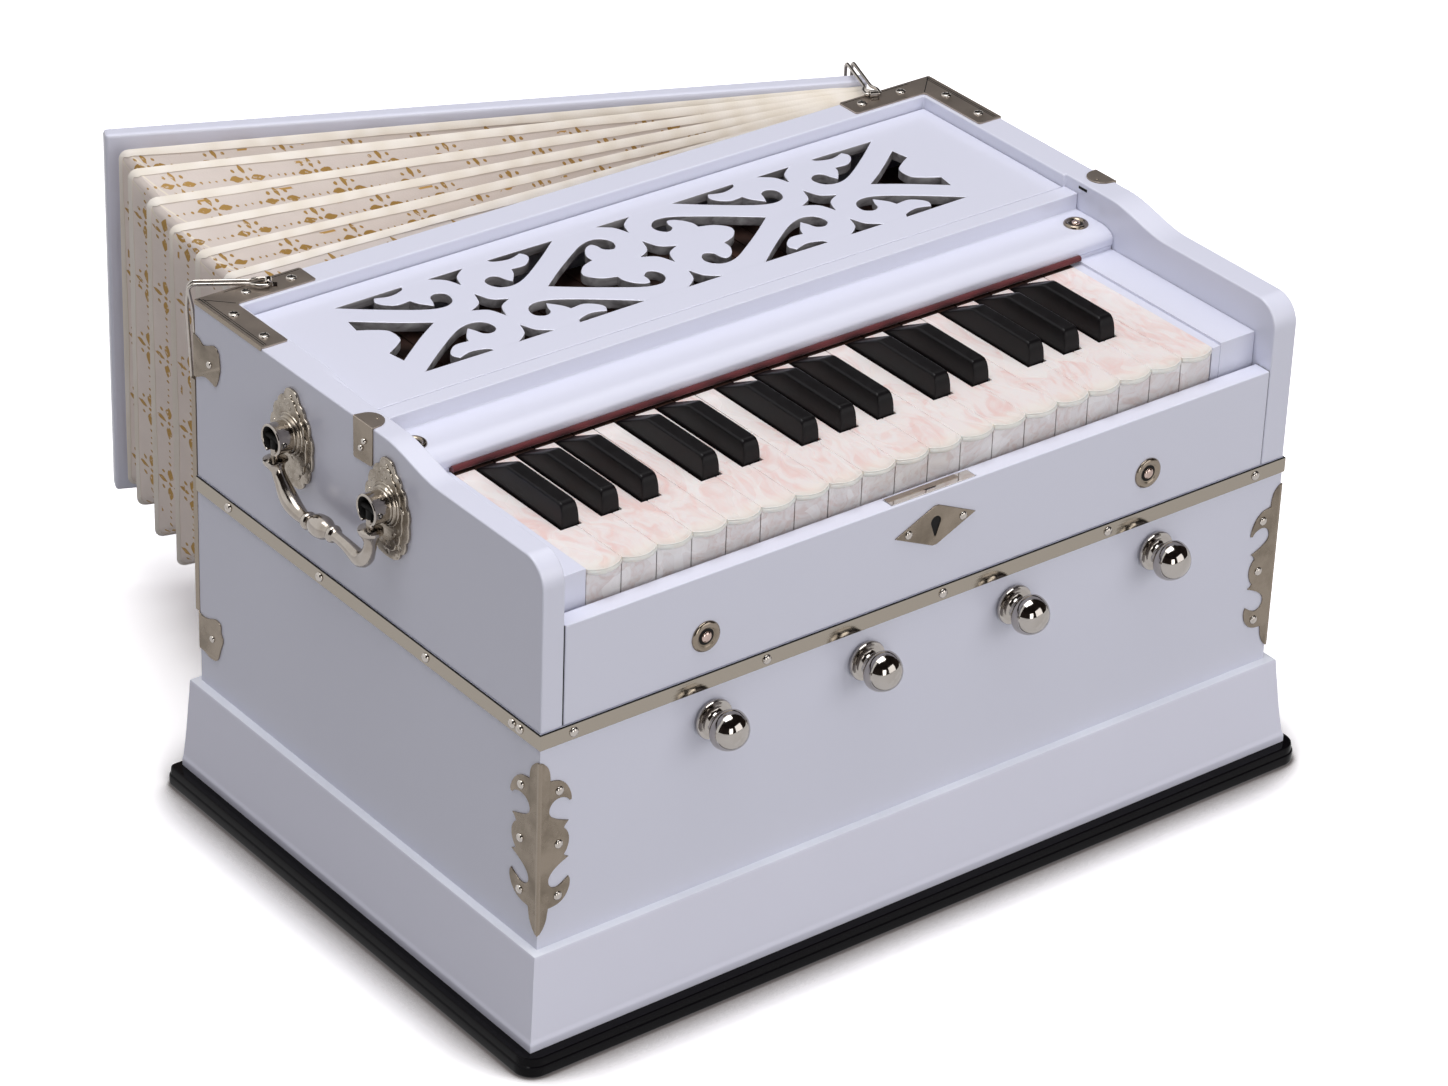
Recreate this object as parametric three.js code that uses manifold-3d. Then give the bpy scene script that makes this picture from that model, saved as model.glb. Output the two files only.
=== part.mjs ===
// Indian harmonium with its fan bellows open, in millimetres.
// X runs to the player's right, Y away from the player, Z up.
// The origin is the middle of the footprint of the case, on the underside of the base board.
import * as THREE from 'three';
import { mergeVertices } from 'three/addons/utils/BufferGeometryUtils.js';
import Module from 'manifold-3d';

const wasm = await Module();
wasm.setup();

// Keyboard
const WHITE_PITCH = 22.75;
const WHITE_COUNT = 19;
const WHITE_GAP = 0.6;
const LEVER_GAP = 0.9;
const WHITE_NOTCH_GAP = 0.8;
const KEY_TOP_RISE = 78.5;
const LEVER_H = 15;
const KEY_FRONT_INSET = 15.5;
const KEY_REACH = 276;
const KEY_TAIL_GAP = 16.5;
const pivotShare = 2 / 3;
const SHARP_SETBACK = 40.5;
const SHARP_BASE_W = 11.4;
const SHARP_TOP_W = 9.8;
const SHARP_RISE = 13.5;
const SHARP_FLAT_L = 46;
const SHARP_SLOPE_L = 25;
const SHARP_SEAT_DEPTH = 2;
const SHARP_NOSE = 5.5;
const SHARP_EDGE = 1.5;
const LIP_OUT = 4.6;
const LIP_T = 2.5;
const PALLET_L = 40;
const PALLET_T = 9.7;
const PALLET_TAIL = 3;

// Case
const CHEEK_T = 19;
const LEFT_BLOCK_W = 19.5;
const RIGHT_BLOCK_W = 24;
const KEY_END_GAP = 6.25;
const CASE_WALL = 10;
const CLEAT_W = 12;
const CLEAT_H = 12;
const LOWER_H = 189.5;
const UPPER_H = 109.5;
const RAIL_T = 19;
const CHEEK_DROP = 8.5;
const CHEEK_SWEEP_BACK = 143.5;
const CHEEK_SWEEP_FRONT = 93.5;
const CHEEK_NOSE_R = 16;
const TOP_ROUND = 3;

// Base board and plinth
const BASE_T = 12;
const BASE_OUT = 19.5;
const BASE_OUT_REAR = 9.75;
const BASE_CORNER_R = 12;
const BASE_NOSE = 4;
const PLINTH_H = 55.5;
const PLINTH_OUT = 11.6;
const PLINTH_OUT_REAR = 4.2;
const PLINTH_LEDGE = 4.3;

// Slip, trim and rails
const SLIP_H = 60.5;
const SLIP_T = 11.5;
const SLIP_ROUND = 2;
const TRIM_H = 9.5;
const TRIM_PROUD = 1;
const TRIM_RIVET_R = 3;
const TRIM_RIVET_H = 1.2;
const NAME_RAIL_GAP = 3;
const NAME_RAIL_FRONT = 136.1;
const NAME_RAIL_H = 10.5;
const NAME_RAIL_D = 32.9;
const LID_STRIP_D = 11.5;
const LID_STRIP_H = 10;
const FIT_GAP = 0.4;

// Pierced lid
const LID_T = 6;
const LID_DROP = 7.5;
const LID_GAP = 0.5;
const LID_LEDGE_W = 6;
const LID_LEDGE_H = 6;
const LID_PIN_R = 1.5;
const LID_PIN_L = 6;
const FRET_SHIFT = -3.75;
const FRET_REAR_MARGIN = 18;
const FRET_FRONT_MARGIN = 19.7;
const crossingShare = 0.24025;
const fretReachShare = 0.38644;

// Key frame and reed board
const BED_T = 10;
const BED_SETBACK = 12;
const FRONT_RAIL_D = 12;
const FRONT_RAIL_H = 45;
const FRONT_RAIL_SETBACK = 8;
const BALANCE_RAIL_D = 12;
const BALANCE_RIDGE_W = 1;
const BALANCE_SHOULDER = 8;
const BLOCK_PROUD = 1;
const BLOCK_SETBACK = 15;
const CHEST_REAR_GAP = 4.5;
const REED_CHEST_WALL = 8;
const REED_TOP_T = 9;
const REED_SLOT_L = 30;
const REED_SLOT_W = 6;
const REED_CHEST_INSET = 5;
const CHEST_RAIL_GAP = 3;

// Reservoir under the bed
const RESERVOIR_W = 300;
const RESERVOIR_D = 220;
const RESERVOIR_H = 30;
const RESERVOIR_BOARD_T = 8;
const RESERVOIR_FOLD = 12;
const RESERVOIR_SHIFT = -40;
const RESERVOIR_WALL = 3;

// Stops
const KNOB_COUNT = 4;
const KNOB_PITCH = 104;
const KNOB_SHIFT = 7;
const KNOB_DROP = 28.2;
const KNOB_R = 11.5;
const KNOB_DEPTH = 18;
const KNOB_FLANGE_R = 10.5;
const KNOB_FLANGE_T = 3;
const KNOB_STANDOFF = 2.5;
const KNOB_NECK_R = 5;
const KNOB_NECK_L = 3;
const KNOB_ROD_R = 3.5;
const KNOB_ROD_L = 34;
const KNOB_ROD_GAP = 0.5;

// Metal corner brackets and their staples
const BRACKET_T = 1;
const BRACKET_W = 17;
const BRACKET_REAR_L = 69;
const BRACKET_SIDE_L = 68;
const BRACKET_ROUND = 3;
const SCREW_R = 3;
const SCREW_H = 1.2;
const STAPLE_R = 2.4;
const STAPLE_BORE_R = 1.5;
const STAPLE_L = 5;
const STAPLE_RISE = 3;

// Carrying handles
const SOCKET_W = 41;
const SOCKET_H = 59;
const SOCKET_PLATE_T = 2;
const SOCKET_DROP = 37;
const SOCKET_SETBACK = 137.5;
const SOCKET_PITCH = 91;
const PLATE_SHIFT = 2.5;
const BARREL_R = 9;
const BARREL_WALL = 1.5;
const BARREL_OUT = 17;
const BARREL_SLOT_W = 8;
const BARREL_SLOT_L = 9;
const PIVOT_OUT = 12;
const HANDLE_PIN_R = 1.5;
const HANDLE_PIN_L = 20;
const HANDLE_PIN_GAP = 0.3;
const HANDLE_DROP = 36.5;
const HANDLE_BULB_R = 6.6;

// Bellows
const FAN_ANGLE = 24;
const BOARD_SHORT = 60.8;
const BOARD_T = 11;
const BOARD_FOOT_GAP = 4;
const BOARD_TOP_DROP = 2;
const HINGE_IN = 22;
const HINGE_STANDOFF = 15.5;
const HINGE_TO_BOARD = 9.4;
const HINGE_R = 4;
const HINGE_PIN_R = 1.5;
const HINGE_BORE_GAP = 0.35;
const HINGE_KNUCKLE_L = 12;
const HINGE_KNUCKLE_GAP = 0.4;
const HINGE_LEAF_T = 2;
const HINGE_LEAF_L = 18;
const HINGE_INSET = 40;
const BATTEN_W = 15.5;
const BATTEN_FROM_HINGE = 4.5;
const FOLD_FOOT = 12.5;
const FOLD_TOP_DROP = 3;
const FOLD_SPREAD = 5;
const FOLD_LEFT_IN = 40;
const FOLD_APEX_OUT = 34;
const FOLD_APEX_BACK = 7.5;
const FOLD_WIDTH_OF_SIDE = 22;
const FOLD_WALL = 3;
const FOLD_END_IN = 6;
const foldSteepness = 4;
const FOLD_END_INSET = 6;
const FOLD_CORNER_R = 5;
const AIR_HOLE_R = 6;
const AIR_HOLE_PITCH_X = 50;
const AIR_HOLE_PITCH_Z = 34;
const AIR_HOLE_RISE = 100;
const AIR_HOLE_ROWS = 2;
const AIR_HOLE_COLUMNS = 6;
const INLET_R = 7;
const INLET_PITCH = 26;
const INLET_RING = 6;

// Wire latches
const WIRE_R = 1.1;
const WIRE_SPREAD = 1.6;
const WIRE_EYE_OUT = 4.4;
const WIRE_END_GAP = 0.6;
const WIRE_NECK = 11;
const LATCH_LEG = 82;
const LATCH_ARM = 46.4;
const LATCH_ROUND = 4;
const LATCH_LOOP_W = 4.5;
const LEFT_EYE_IN = 43;
const LEFT_EYE_BACK = 8.5;
const RIGHT_EYE_IN = 46.7;
const RIGHT_EYE_BACK = 5;

// Shared clearances and tool overruns
const SEAT_GAP = 0.3;
const OVERRUN = 2;
const BITE = 0.4;
const WELD = 0.0001;

// Derived stations
const WHITE_BED_W = WHITE_COUNT * WHITE_PITCH;
const CASE_W = 2 * CHEEK_T + LEFT_BLOCK_W + WHITE_BED_W + KEY_END_GAP + RIGHT_BLOCK_W;
const SIDE_X = CASE_W / 2;
const CHEEK_X = SIDE_X - CHEEK_T;
const KEYS_X = -CHEEK_X + LEFT_BLOCK_W;
const CASE_D = KEY_FRONT_INSET + KEY_REACH + KEY_TAIL_GAP + RAIL_T;
const FRONT_Y = -CASE_D / 2;
const REAR_Y = CASE_D / 2;
const CASE_Z = BASE_T;
const SEAM_Z = CASE_Z + LOWER_H;
const TOP_Z = SEAM_Z + UPPER_H;
const RAIL_Y = REAR_Y - RAIL_T;
const KEY_FRONT_Y = FRONT_Y + KEY_FRONT_INSET;
const KEY_TAIL_Y = KEY_FRONT_Y + KEY_REACH;
const KEY_TOP = SEAM_Z + KEY_TOP_RISE;
const LEVER_Z = KEY_TOP - LEVER_H;
const PIVOT_Y = KEY_FRONT_Y + pivotShare * KEY_REACH;
const PIVOT_Z = LEVER_Z;
const SHARP_FRONT_Y = KEY_FRONT_Y + SHARP_SETBACK;
const BED_TOP = SEAM_Z + BED_T;
const BED_FRONT_Y = FRONT_Y + BED_SETBACK;
const LID_TOP = TOP_Z - LID_DROP;
const LID_Z = LID_TOP - LID_T;
const LID_REAR_Y = RAIL_Y - LID_GAP;
const NAME_FRONT_Y = FRONT_Y + NAME_RAIL_FRONT;
const STRIP_Y = NAME_FRONT_Y + NAME_RAIL_D;
const LID_FRONT_Y = STRIP_Y + LID_STRIP_D + SEAT_GAP;
const NAME_RAIL_BOTTOM = KEY_TOP + NAME_RAIL_GAP;
const CROSSING_PITCH = crossingShare * 2 * CHEEK_X;
const CHEST_FRONT_Y = PIVOT_Y + BALANCE_RAIL_D / 2 + CHEST_RAIL_GAP;
const CHEST_REAR_Y = RAIL_Y - CHEST_REAR_GAP;
const CHEST_TOP = LEVER_Z - PALLET_T - SEAT_GAP;
const PLINTH_TOP = CASE_Z + PLINTH_H;
const KNOB_Z = SEAM_Z - KNOB_DROP;
const SOCKET_Z = TOP_Z - SOCKET_DROP;
const SOCKET_FRONT_Y = FRONT_Y + SOCKET_SETBACK;
const SOCKET_REAR_Y = SOCKET_FRONT_Y + SOCKET_PITCH;
const HINGE_X = SIDE_X - HINGE_IN;
const HINGE_Y = REAR_Y + HINGE_STANDOFF;
const BOARD_L = CASE_W - BOARD_SHORT;
const BOARD_BOTTOM = PLINTH_TOP + BOARD_FOOT_GAP;
const BOARD_TOP = TOP_Z - BOARD_TOP_DROP;
const FOLD_BOTTOM = BOARD_BOTTOM + FOLD_FOOT;
const FOLD_TOP = BOARD_TOP - FOLD_TOP_DROP;
const FOLD_APEX_X = HINGE_X + FOLD_APEX_OUT;
const FOLD_CASE_R = FOLD_APEX_X + SIDE_X - FOLD_LEFT_IN;
const FOLD_R = FOLD_CASE_R + FOLD_SPREAD;
const FOLD_APEX_Y = REAR_Y + FOLD_APEX_BACK;
const FULL_TURN = 2 * Math.PI;

// Colours and surface values
const finish = {
  lacquer: { color: 0xbfc0d2, roughness: 0.18, metalness: 0 },
  blackLacquer: { color: 0x0c0b10, roughness: 0.2, metalness: 0 },
  nickel: { color: 0x96897a, roughness: 0.3, metalness: 1 },
  pearl: { color: 0xf3e0d8, roughness: 0.2, metalness: 0 },
  ebony: { color: 0x15131a, roughness: 0.35, metalness: 0 },
  polishedNickel: { color: 0xb9b2ab, roughness: 0.12, metalness: 1 },
  paper: { color: 0xd8d0cc, roughness: 0.8, metalness: 0 },
  rawWood: { color: 0xb98f62, roughness: 0.65, metalness: 0 },
  darkWood: { color: 0x4a2418, roughness: 0.5, metalness: 0 },
};

const harmonium = new THREE.Group();

// Solids: a geometry becomes a manifold solid, and a solid becomes a geometry again
function bareGeometry(points, index) {
  const geometry = new THREE.BufferGeometry();
  geometry.setAttribute('position', new THREE.BufferAttribute(new Float32Array(points), 3));
  geometry.setIndex(index);
  return geometry;
}

function welded(geometry) {
  const bare = new THREE.BufferGeometry();
  bare.setAttribute('position', geometry.attributes.position);
  if (geometry.index) {
    bare.setIndex(geometry.index);
  }
  return mergeVertices(bare, WELD);
}

function solidOf(geometry) {
  const merged = welded(geometry);
  const corners = merged.index.array;
  const kept = [];
  for (let i = 0; i < corners.length; i += 3) {
    const [a, b, c] = [corners[i], corners[i + 1], corners[i + 2]];
    if (a !== b && b !== c && c !== a) {
      kept.push(a, b, c);
    }
  }
  const mesh = new wasm.Mesh({
    numProp: 3,
    vertProperties: new Float32Array(merged.attributes.position.array),
    triVerts: new Uint32Array(kept),
  });
  return new wasm.Manifold(mesh);
}

function geometryOf(solid) {
  const mesh = solid.getMesh();
  const geometry = bareGeometry(mesh.vertProperties, Array.from(mesh.triVerts));
  return geometry;
}

function join(first, ...others) {
  return others.reduce((whole, part) => whole.add(part), first);
}

function cut(first, ...tools) {
  return tools.reduce((whole, tool) => whole.subtract(tool), first);
}

function addPiece(name, solid, look, place = new THREE.Vector3()) {
  const geometry = geometryOf(solid);
  geometry.computeVertexNormals();
  const mesh = new THREE.Mesh(geometry, new THREE.MeshStandardMaterial(look));
  mesh.name = name;
  mesh.position.copy(place);
  harmonium.add(mesh);
  return mesh;
}

// Shapes that the pieces are made from
const AXIS_X = new THREE.Vector3(1, 0, 0);
const AXIS_Y = new THREE.Vector3(0, 1, 0);
const AXIS_Z = new THREE.Vector3(0, 0, 1);

function block([x0, x1], [y0, y1], [z0, z1]) {
  const geometry = new THREE.BoxGeometry(x1 - x0, y1 - y0, z1 - z0);
  geometry.translate((x0 + x1) / 2, (y0 + y1) / 2, (z0 + z1) / 2);
  return solidOf(geometry);
}

function extruded(outline, depth) {
  return new THREE.ExtrudeGeometry(new THREE.Shape(outline), { depth, bevelEnabled: false });
}

// An outline of (y, z) points, drawn out along X from x0 to x1
function alongX(outline, [x0, x1]) {
  const geometry = extruded(outline, x1 - x0);
  geometry.applyMatrix4(new THREE.Matrix4().makeBasis(AXIS_Y, AXIS_Z, AXIS_X));
  geometry.translate(x0, 0, 0);
  return solidOf(geometry);
}

// An outline of (x, y) points, drawn out along Z from z0 to z1
function alongZ(outline, [z0, z1]) {
  const geometry = extruded(outline, z1 - z0);
  geometry.translate(0, 0, z0);
  return solidOf(geometry);
}

// A profile of (radius, distance) points, turned about an axis that starts at a point
function turned(profile, sides, start, direction) {
  const geometry = new THREE.LatheGeometry(profile, sides);
  const turn = new THREE.Quaternion().setFromUnitVectors(AXIS_Y, direction.clone().normalize());
  geometry.applyQuaternion(turn);
  geometry.translate(start.x, start.y, start.z);
  return outward(geometry);
}

function outward(geometry) {
  const solid = solidOf(geometry);
  if (solid.volume() > 0) {
    return solid;
  }
  const index = welded(geometry).index.array;
  const flipped = [];
  for (let i = 0; i < index.length; i += 3) {
    flipped.push(index[i], index[i + 2], index[i + 1]);
  }
  const merged = welded(geometry);
  merged.setIndex(flipped);
  return solidOf(merged);
}

function rod(radius, from, to, sides) {
  const direction = to.clone().sub(from);
  const length = direction.length();
  const profile = [v2(0, 0), v2(radius, 0), v2(radius, length), v2(0, length)];
  return turned(profile, sides, from, direction);
}

function dome(radius, height, foot, direction, sides = RIVET_SIDES) {
  const sunk = foot.clone().addScaledVector(direction, -BITE);
  const profile = [v2(0, 0), v2(radius, 0), v2(radius, BITE)];
  domeShares.forEach(([across, up]) => profile.push(v2(radius * across, BITE + height * up)));
  return turned(profile, sides, sunk, direction);
}

function tube(points, radius, sides, steps) {
  const path = new THREE.CatmullRomCurve3(points, false, 'centripetal');
  const ring = circle(radius, sides);
  const shape = new THREE.Shape(ring);
  const geometry = new THREE.ExtrudeGeometry(shape, { steps, extrudePath: path, bevelEnabled: false });
  return outward(geometry);
}

function circle(radius, sides, centre = v2(0, 0)) {
  const points = [];
  for (let i = 0; i < sides; i += 1) {
    const angle = FULL_TURN * i / sides;
    points.push(v2(centre.x + radius * Math.cos(angle), centre.y + radius * Math.sin(angle)));
  }
  return points;
}

function v2(x, y) {
  return new THREE.Vector2(x, y);
}

function v3(x, y, z) {
  return new THREE.Vector3(x, y, z);
}

const RIVET_SIDES = 8;
const ROUND_SIDES = 16;
const CORNER_STEPS = 3;
const domeShares = [[0.8, 0.65], [0, 1]];

// A rectangle with round corners, as (x, y) points
function roundedRectangle([x0, x1], [y0, y1], radius, steps = CORNER_STEPS) {
  const centres = [[x1 - radius, y1 - radius], [x0 + radius, y1 - radius],
    [x0 + radius, y0 + radius], [x1 - radius, y0 + radius]];
  const points = [];
  centres.forEach(([x, y], corner) => {
    for (let i = 0; i <= steps; i += 1) {
      const angle = Math.PI / 2 * (corner + i / steps);
      points.push(v2(x + radius * Math.cos(angle), y + radius * Math.sin(angle)));
    }
  });
  return points;
}

// A closed band of rings, each joined to the next and the last to the first
function loopOfRings(rings) {
  const count = rings[0].length;
  const points = rings.flat().flatMap((point) => [point.x, point.y, point.z]);
  const index = [];
  rings.forEach((ring, k) => {
    const next = (k + 1) % rings.length;
    stitch(index, k * count, next * count, count);
  });
  return outward(bareGeometry(points, index));
}

// A closed skin over rings, with a flat cap on the first and the last
function cappedRings(rings) {
  const count = rings[0].length;
  const points = rings.flat().flatMap((point) => [point.x, point.y, point.z]);
  const index = [];
  for (let k = 0; k + 1 < rings.length; k += 1) {
    stitch(index, k * count, (k + 1) * count, count);
  }
  const last = (rings.length - 1) * count;
  for (let i = 1; i + 1 < count; i += 1) {
    index.push(0, i + 1, i);
    index.push(last, last + i, last + i + 1);
  }
  return outward(bareGeometry(points, index));
}

function stitch(index, from, to, count) {
  for (let i = 0; i < count; i += 1) {
    const j = (i + 1) % count;
    index.push(from + i, from + j, to + j);
    index.push(from + i, to + j, to + i);
  }
}

// Base board: a flat board with a rounded nose all round
const baseNoseShares = [[0, 0.35], [0.35, 0], [0.75, 0], [1, 0.4]];

function makeBaseBoard() {
  const rings = baseNoseShares.map(([up, inset]) => {
    const pull = inset * BASE_NOSE;
    const outline = roundedRectangle(
      [-SIDE_X - BASE_OUT + pull, SIDE_X + BASE_OUT - pull],
      [FRONT_Y - BASE_OUT + pull, REAR_Y + BASE_OUT_REAR - pull],
      BASE_CORNER_R - pull,
    );
    return outline.map((point) => v3(point.x, point.y, up * BASE_T));
  });
  addPiece('base_board', cappedRings(rings), finish.blackLacquer);
}

// Plinth: a flared moulding that the foot of the case stands in
const plinthShares = [[0, 1], [0.09, 1], [0.13, 0.9], [0.6, 0.52], [0.9, 0.14], [1, 0]];

function plinthRing(height, out, outRear) {
  const side = SIDE_X + out;
  const front = FRONT_Y - out;
  const rear = REAR_Y + outRear;
  const z = CASE_Z + height;
  return [v3(-side, front, z), v3(side, front, z), v3(side, rear, z), v3(-side, rear, z)];
}

function makePlinth() {
  const flare = PLINTH_OUT - PLINTH_LEDGE;
  const rings = plinthShares.map(([up, out]) => (
    plinthRing(up * PLINTH_H, PLINTH_LEDGE + out * flare, PLINTH_OUT_REAR)
  ));
  rings.push(plinthRing(PLINTH_H, 0, 0));
  rings.push(plinthRing(0, 0, 0));
  addPiece('plinth', loopOfRings(rings), finish.lacquer);
}

// Lower case: four walls, a cleat inside the top for the bed, and holes for rods and air
function knobX(k) {
  return KNOB_SHIFT + (k - (KNOB_COUNT - 1) / 2) * KNOB_PITCH;
}

function makeLowerCase() {
  const outer = block([-SIDE_X, SIDE_X], [FRONT_Y, REAR_Y], [CASE_Z, SEAM_Z]);
  const inside = CASE_WALL;
  const room = block(
    [-SIDE_X + inside, SIDE_X - inside],
    [FRONT_Y + inside, REAR_Y - inside],
    [CASE_Z - OVERRUN, SEAM_Z - CLEAT_H],
  );
  const mouthInset = CASE_WALL + CLEAT_W;
  const mouth = block(
    [-SIDE_X + mouthInset, SIDE_X - mouthInset],
    [FRONT_Y + mouthInset, REAR_Y - mouthInset],
    [CASE_Z, SEAM_Z + OVERRUN],
  );
  let walls = cut(outer, room, mouth);
  for (let k = 0; k < KNOB_COUNT; k += 1) {
    const from = v3(knobX(k), FRONT_Y - OVERRUN, KNOB_Z);
    const to = v3(knobX(k), FRONT_Y + CASE_WALL + OVERRUN, KNOB_Z);
    walls = cut(walls, rod(KNOB_ROD_R + KNOB_ROD_GAP, from, to, ROUND_SIDES));
  }
  for (let row = 0; row < AIR_HOLE_ROWS; row += 1) {
    for (let column = 0; column < AIR_HOLE_COLUMNS; column += 1) {
      const x = (column - (AIR_HOLE_COLUMNS - 1) / 2) * AIR_HOLE_PITCH_X;
      const z = CASE_Z + AIR_HOLE_RISE + row * AIR_HOLE_PITCH_Z;
      const from = v3(x, REAR_Y - CASE_WALL - OVERRUN, z);
      const to = v3(x, REAR_Y + OVERRUN, z);
      walls = cut(walls, rod(AIR_HOLE_R, from, to, RIVET_SIDES));
    }
  }
  addPiece('lower_case', walls, finish.lacquer);
}

// Upper case: two shaped cheeks, the rear rail and the ledges that carry the lid
const sweepShares = [[0.16, 0.05], [0.36, 0.24], [0.56, 0.62], [0.76, 0.91], [0.9, 0.99]];

function cheekOutline() {
  const low = TOP_Z - CHEEK_DROP;
  const sweepRear = FRONT_Y + CHEEK_SWEEP_BACK;
  const sweepFront = FRONT_Y + CHEEK_SWEEP_FRONT;
  const outline = [v2(FRONT_Y, SEAM_Z), v2(REAR_Y, SEAM_Z), v2(REAR_Y, TOP_Z), v2(sweepRear, TOP_Z)];
  sweepShares.forEach(([along, down]) => {
    const y = sweepRear + along * (sweepFront - sweepRear);
    outline.push(v2(y, TOP_Z - down * CHEEK_DROP));
  });
  outline.push(v2(sweepFront, low));
  const centre = v2(FRONT_Y + CHEEK_NOSE_R, low - CHEEK_NOSE_R);
  for (let i = 0; i <= CORNER_STEPS + 1; i += 1) {
    const angle = Math.PI / 2 * (1 + i / (CORNER_STEPS + 1));
    outline.push(v2(centre.x + CHEEK_NOSE_R * Math.cos(angle), centre.y + CHEEK_NOSE_R * Math.sin(angle)));
  }
  return outline;
}

function makeUpperCase() {
  const outline = cheekOutline();
  const ledgeY = [LID_FRONT_Y, RAIL_Y + BITE];
  const ledgeZ = [LID_Z - LID_LEDGE_H, LID_Z];
  const left = alongX(outline, [-SIDE_X, -CHEEK_X]);
  const right = alongX(outline, [CHEEK_X, SIDE_X]);
  const rail = block([-CHEEK_X - BITE, CHEEK_X + BITE], [RAIL_Y, REAR_Y], [SEAM_Z, TOP_Z]);
  const ledgeLeft = block([-CHEEK_X - BITE, -CHEEK_X + LID_LEDGE_W], ledgeY, ledgeZ);
  const ledgeRight = block([CHEEK_X - LID_LEDGE_W, CHEEK_X + BITE], ledgeY, ledgeZ);
  const pinBore = LID_PIN_L + FIT_GAP;
  const axis = lidAxis();
  const bore = rod(
    LID_PIN_R + SEAT_GAP,
    v3(-CHEEK_X - pinBore, axis.y, axis.z),
    v3(CHEEK_X + pinBore, axis.y, axis.z),
    ROUND_SIDES,
  );
  const carcass = join(left, right, rail, ledgeLeft, ledgeRight);
  addPiece('upper_case', cut(carcass, bore), finish.lacquer);
}

// Key slip: the board in front of the keys
function makeKeySlip() {
  const end = CHEEK_X - FIT_GAP;
  const top = SEAM_Z + SLIP_H;
  const back = FRONT_Y + SLIP_T;
  const outline = [v2(FRONT_Y, SEAM_Z), v2(back, SEAM_Z), v2(back, top - SLIP_ROUND),
    v2(back - SLIP_ROUND, top), v2(FRONT_Y + SLIP_ROUND, top), v2(FRONT_Y, top - SLIP_ROUND)];
  addPiece('key_slip', alongX(outline, [-end, end]), finish.lacquer);
}

// Trim band: a metal strip round the front and sides at the seam, with its rivets
const trimFrontShares = [-0.921, -0.435, 0.031, 0.488, 0.915];
const trimSideShares = [0.797, 0.243, -0.374, -0.855];

function makeTrimBand() {
  const out = TRIM_PROUD;
  const z0 = SEAM_Z - TRIM_H;
  const outline = [v2(-SIDE_X - out, REAR_Y), v2(-SIDE_X - out, FRONT_Y - out),
    v2(SIDE_X + out, FRONT_Y - out), v2(SIDE_X + out, REAR_Y), v2(SIDE_X, REAR_Y),
    v2(SIDE_X, FRONT_Y), v2(-SIDE_X, FRONT_Y), v2(-SIDE_X, REAR_Y)];
  let band = alongZ(outline, [z0, SEAM_Z]);
  const z = SEAM_Z - TRIM_H / 2;
  trimFrontShares.forEach((share) => {
    const foot = v3(share * SIDE_X, FRONT_Y - out, z);
    band = join(band, dome(TRIM_RIVET_R, TRIM_RIVET_H, foot, v3(0, -1, 0)));
  });
  trimSideShares.forEach((share) => {
    [-1, 1].forEach((side) => {
      const foot = v3(side * (SIDE_X + out), share * REAR_Y, z);
      band = join(band, dome(TRIM_RIVET_R, TRIM_RIVET_H, foot, v3(side, 0, 0)));
    });
  });
  addPiece('trim_band', band, finish.nickel);
}

// Name rail: a bull-nosed rail over the keys, with the strip that the lid closes on
const nameNoseShares = [[0.01, 0.02], [0, 0.16], [0.045, 0.48], [0.18, 0.86], [0.42, 1]];

function makeNameRail() {
  const end = CHEEK_X - SEAT_GAP;
  const top = NAME_RAIL_BOTTOM + NAME_RAIL_H;
  const back = STRIP_Y + LID_STRIP_D;
  const outline = [v2(back, NAME_RAIL_BOTTOM), v2(back, top + LID_STRIP_H),
    v2(STRIP_Y, top + LID_STRIP_H), v2(STRIP_Y, top)];
  const nose = nameNoseShares.map(([along, up]) => (
    v2(NAME_FRONT_Y + along * NAME_RAIL_D, NAME_RAIL_BOTTOM + up * NAME_RAIL_H)
  ));
  outline.push(...nose.reverse());
  addPiece('name_rail', alongX(outline, [-end, end]), finish.lacquer);
}

// Pierced lid: a flat frame with traditional scrolls and diamonds cut through it
// Every run of shares is a smooth stretch between two sharp corners of a hole
const quarterScrollShares = [
  [[1.64, 0.98], [0.65, 0.99]],
  [[0.65, 0.99], [0.7, 0.92], [0.9, 0.87], [1.1, 0.93]],
  [[1.1, 0.93], [1.15, 0.83], [1.1, 0.72], [0.96, 0.62], [0.77, 0.63]],
  [[0.77, 0.63], [0.72, 0.51], [0.59, 0.35]],
  [[0.59, 0.35], [0.54, 0.46], [0.5, 0.57], [0.4, 0.61], [0.3, 0.54], [0.3, 0.41], [0.38, 0.3],
    [0.55, 0.27], [0.8, 0.37], [1.25, 0.68], [1.64, 0.98]],
];
const edgeTriangleShares = [
  [[-0.26, 0.98], [0.26, 0.98]],
  [[0.26, 0.98], [0.08, 0.84], [0, 0.63]],
  [[0, 0.63], [-0.08, 0.84], [-0.26, 0.98]],
];
const diamondShares = [
  [[0.28, 0], [0.09, 0.11], [0, 0.34]],
  [[0, 0.34], [-0.09, 0.11], [-0.28, 0]],
  [[-0.28, 0], [-0.09, -0.11], [0, -0.34]],
  [[0, -0.34], [0.09, -0.11], [0.28, 0]],
];
const chevronShares = [
  [[1.71, 0], [1.37, 0.255], [0.95, 0.54], [0.7, 0.685], [0.505, 0.72], [0.38, 0.65], [0.33, 0.54],
    [0.36, 0.43], [0.44, 0.37], [0.54, 0.43], [0.555, 0.54], [0.6, 0.62], [0.7, 0.59], [0.79, 0.49],
    [0.84, 0.38], [0.84, 0.27]],
  [[0.84, 0.27], [1.02, 0.205], [1.14, 0.09], [1.175, 0]],
];
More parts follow.
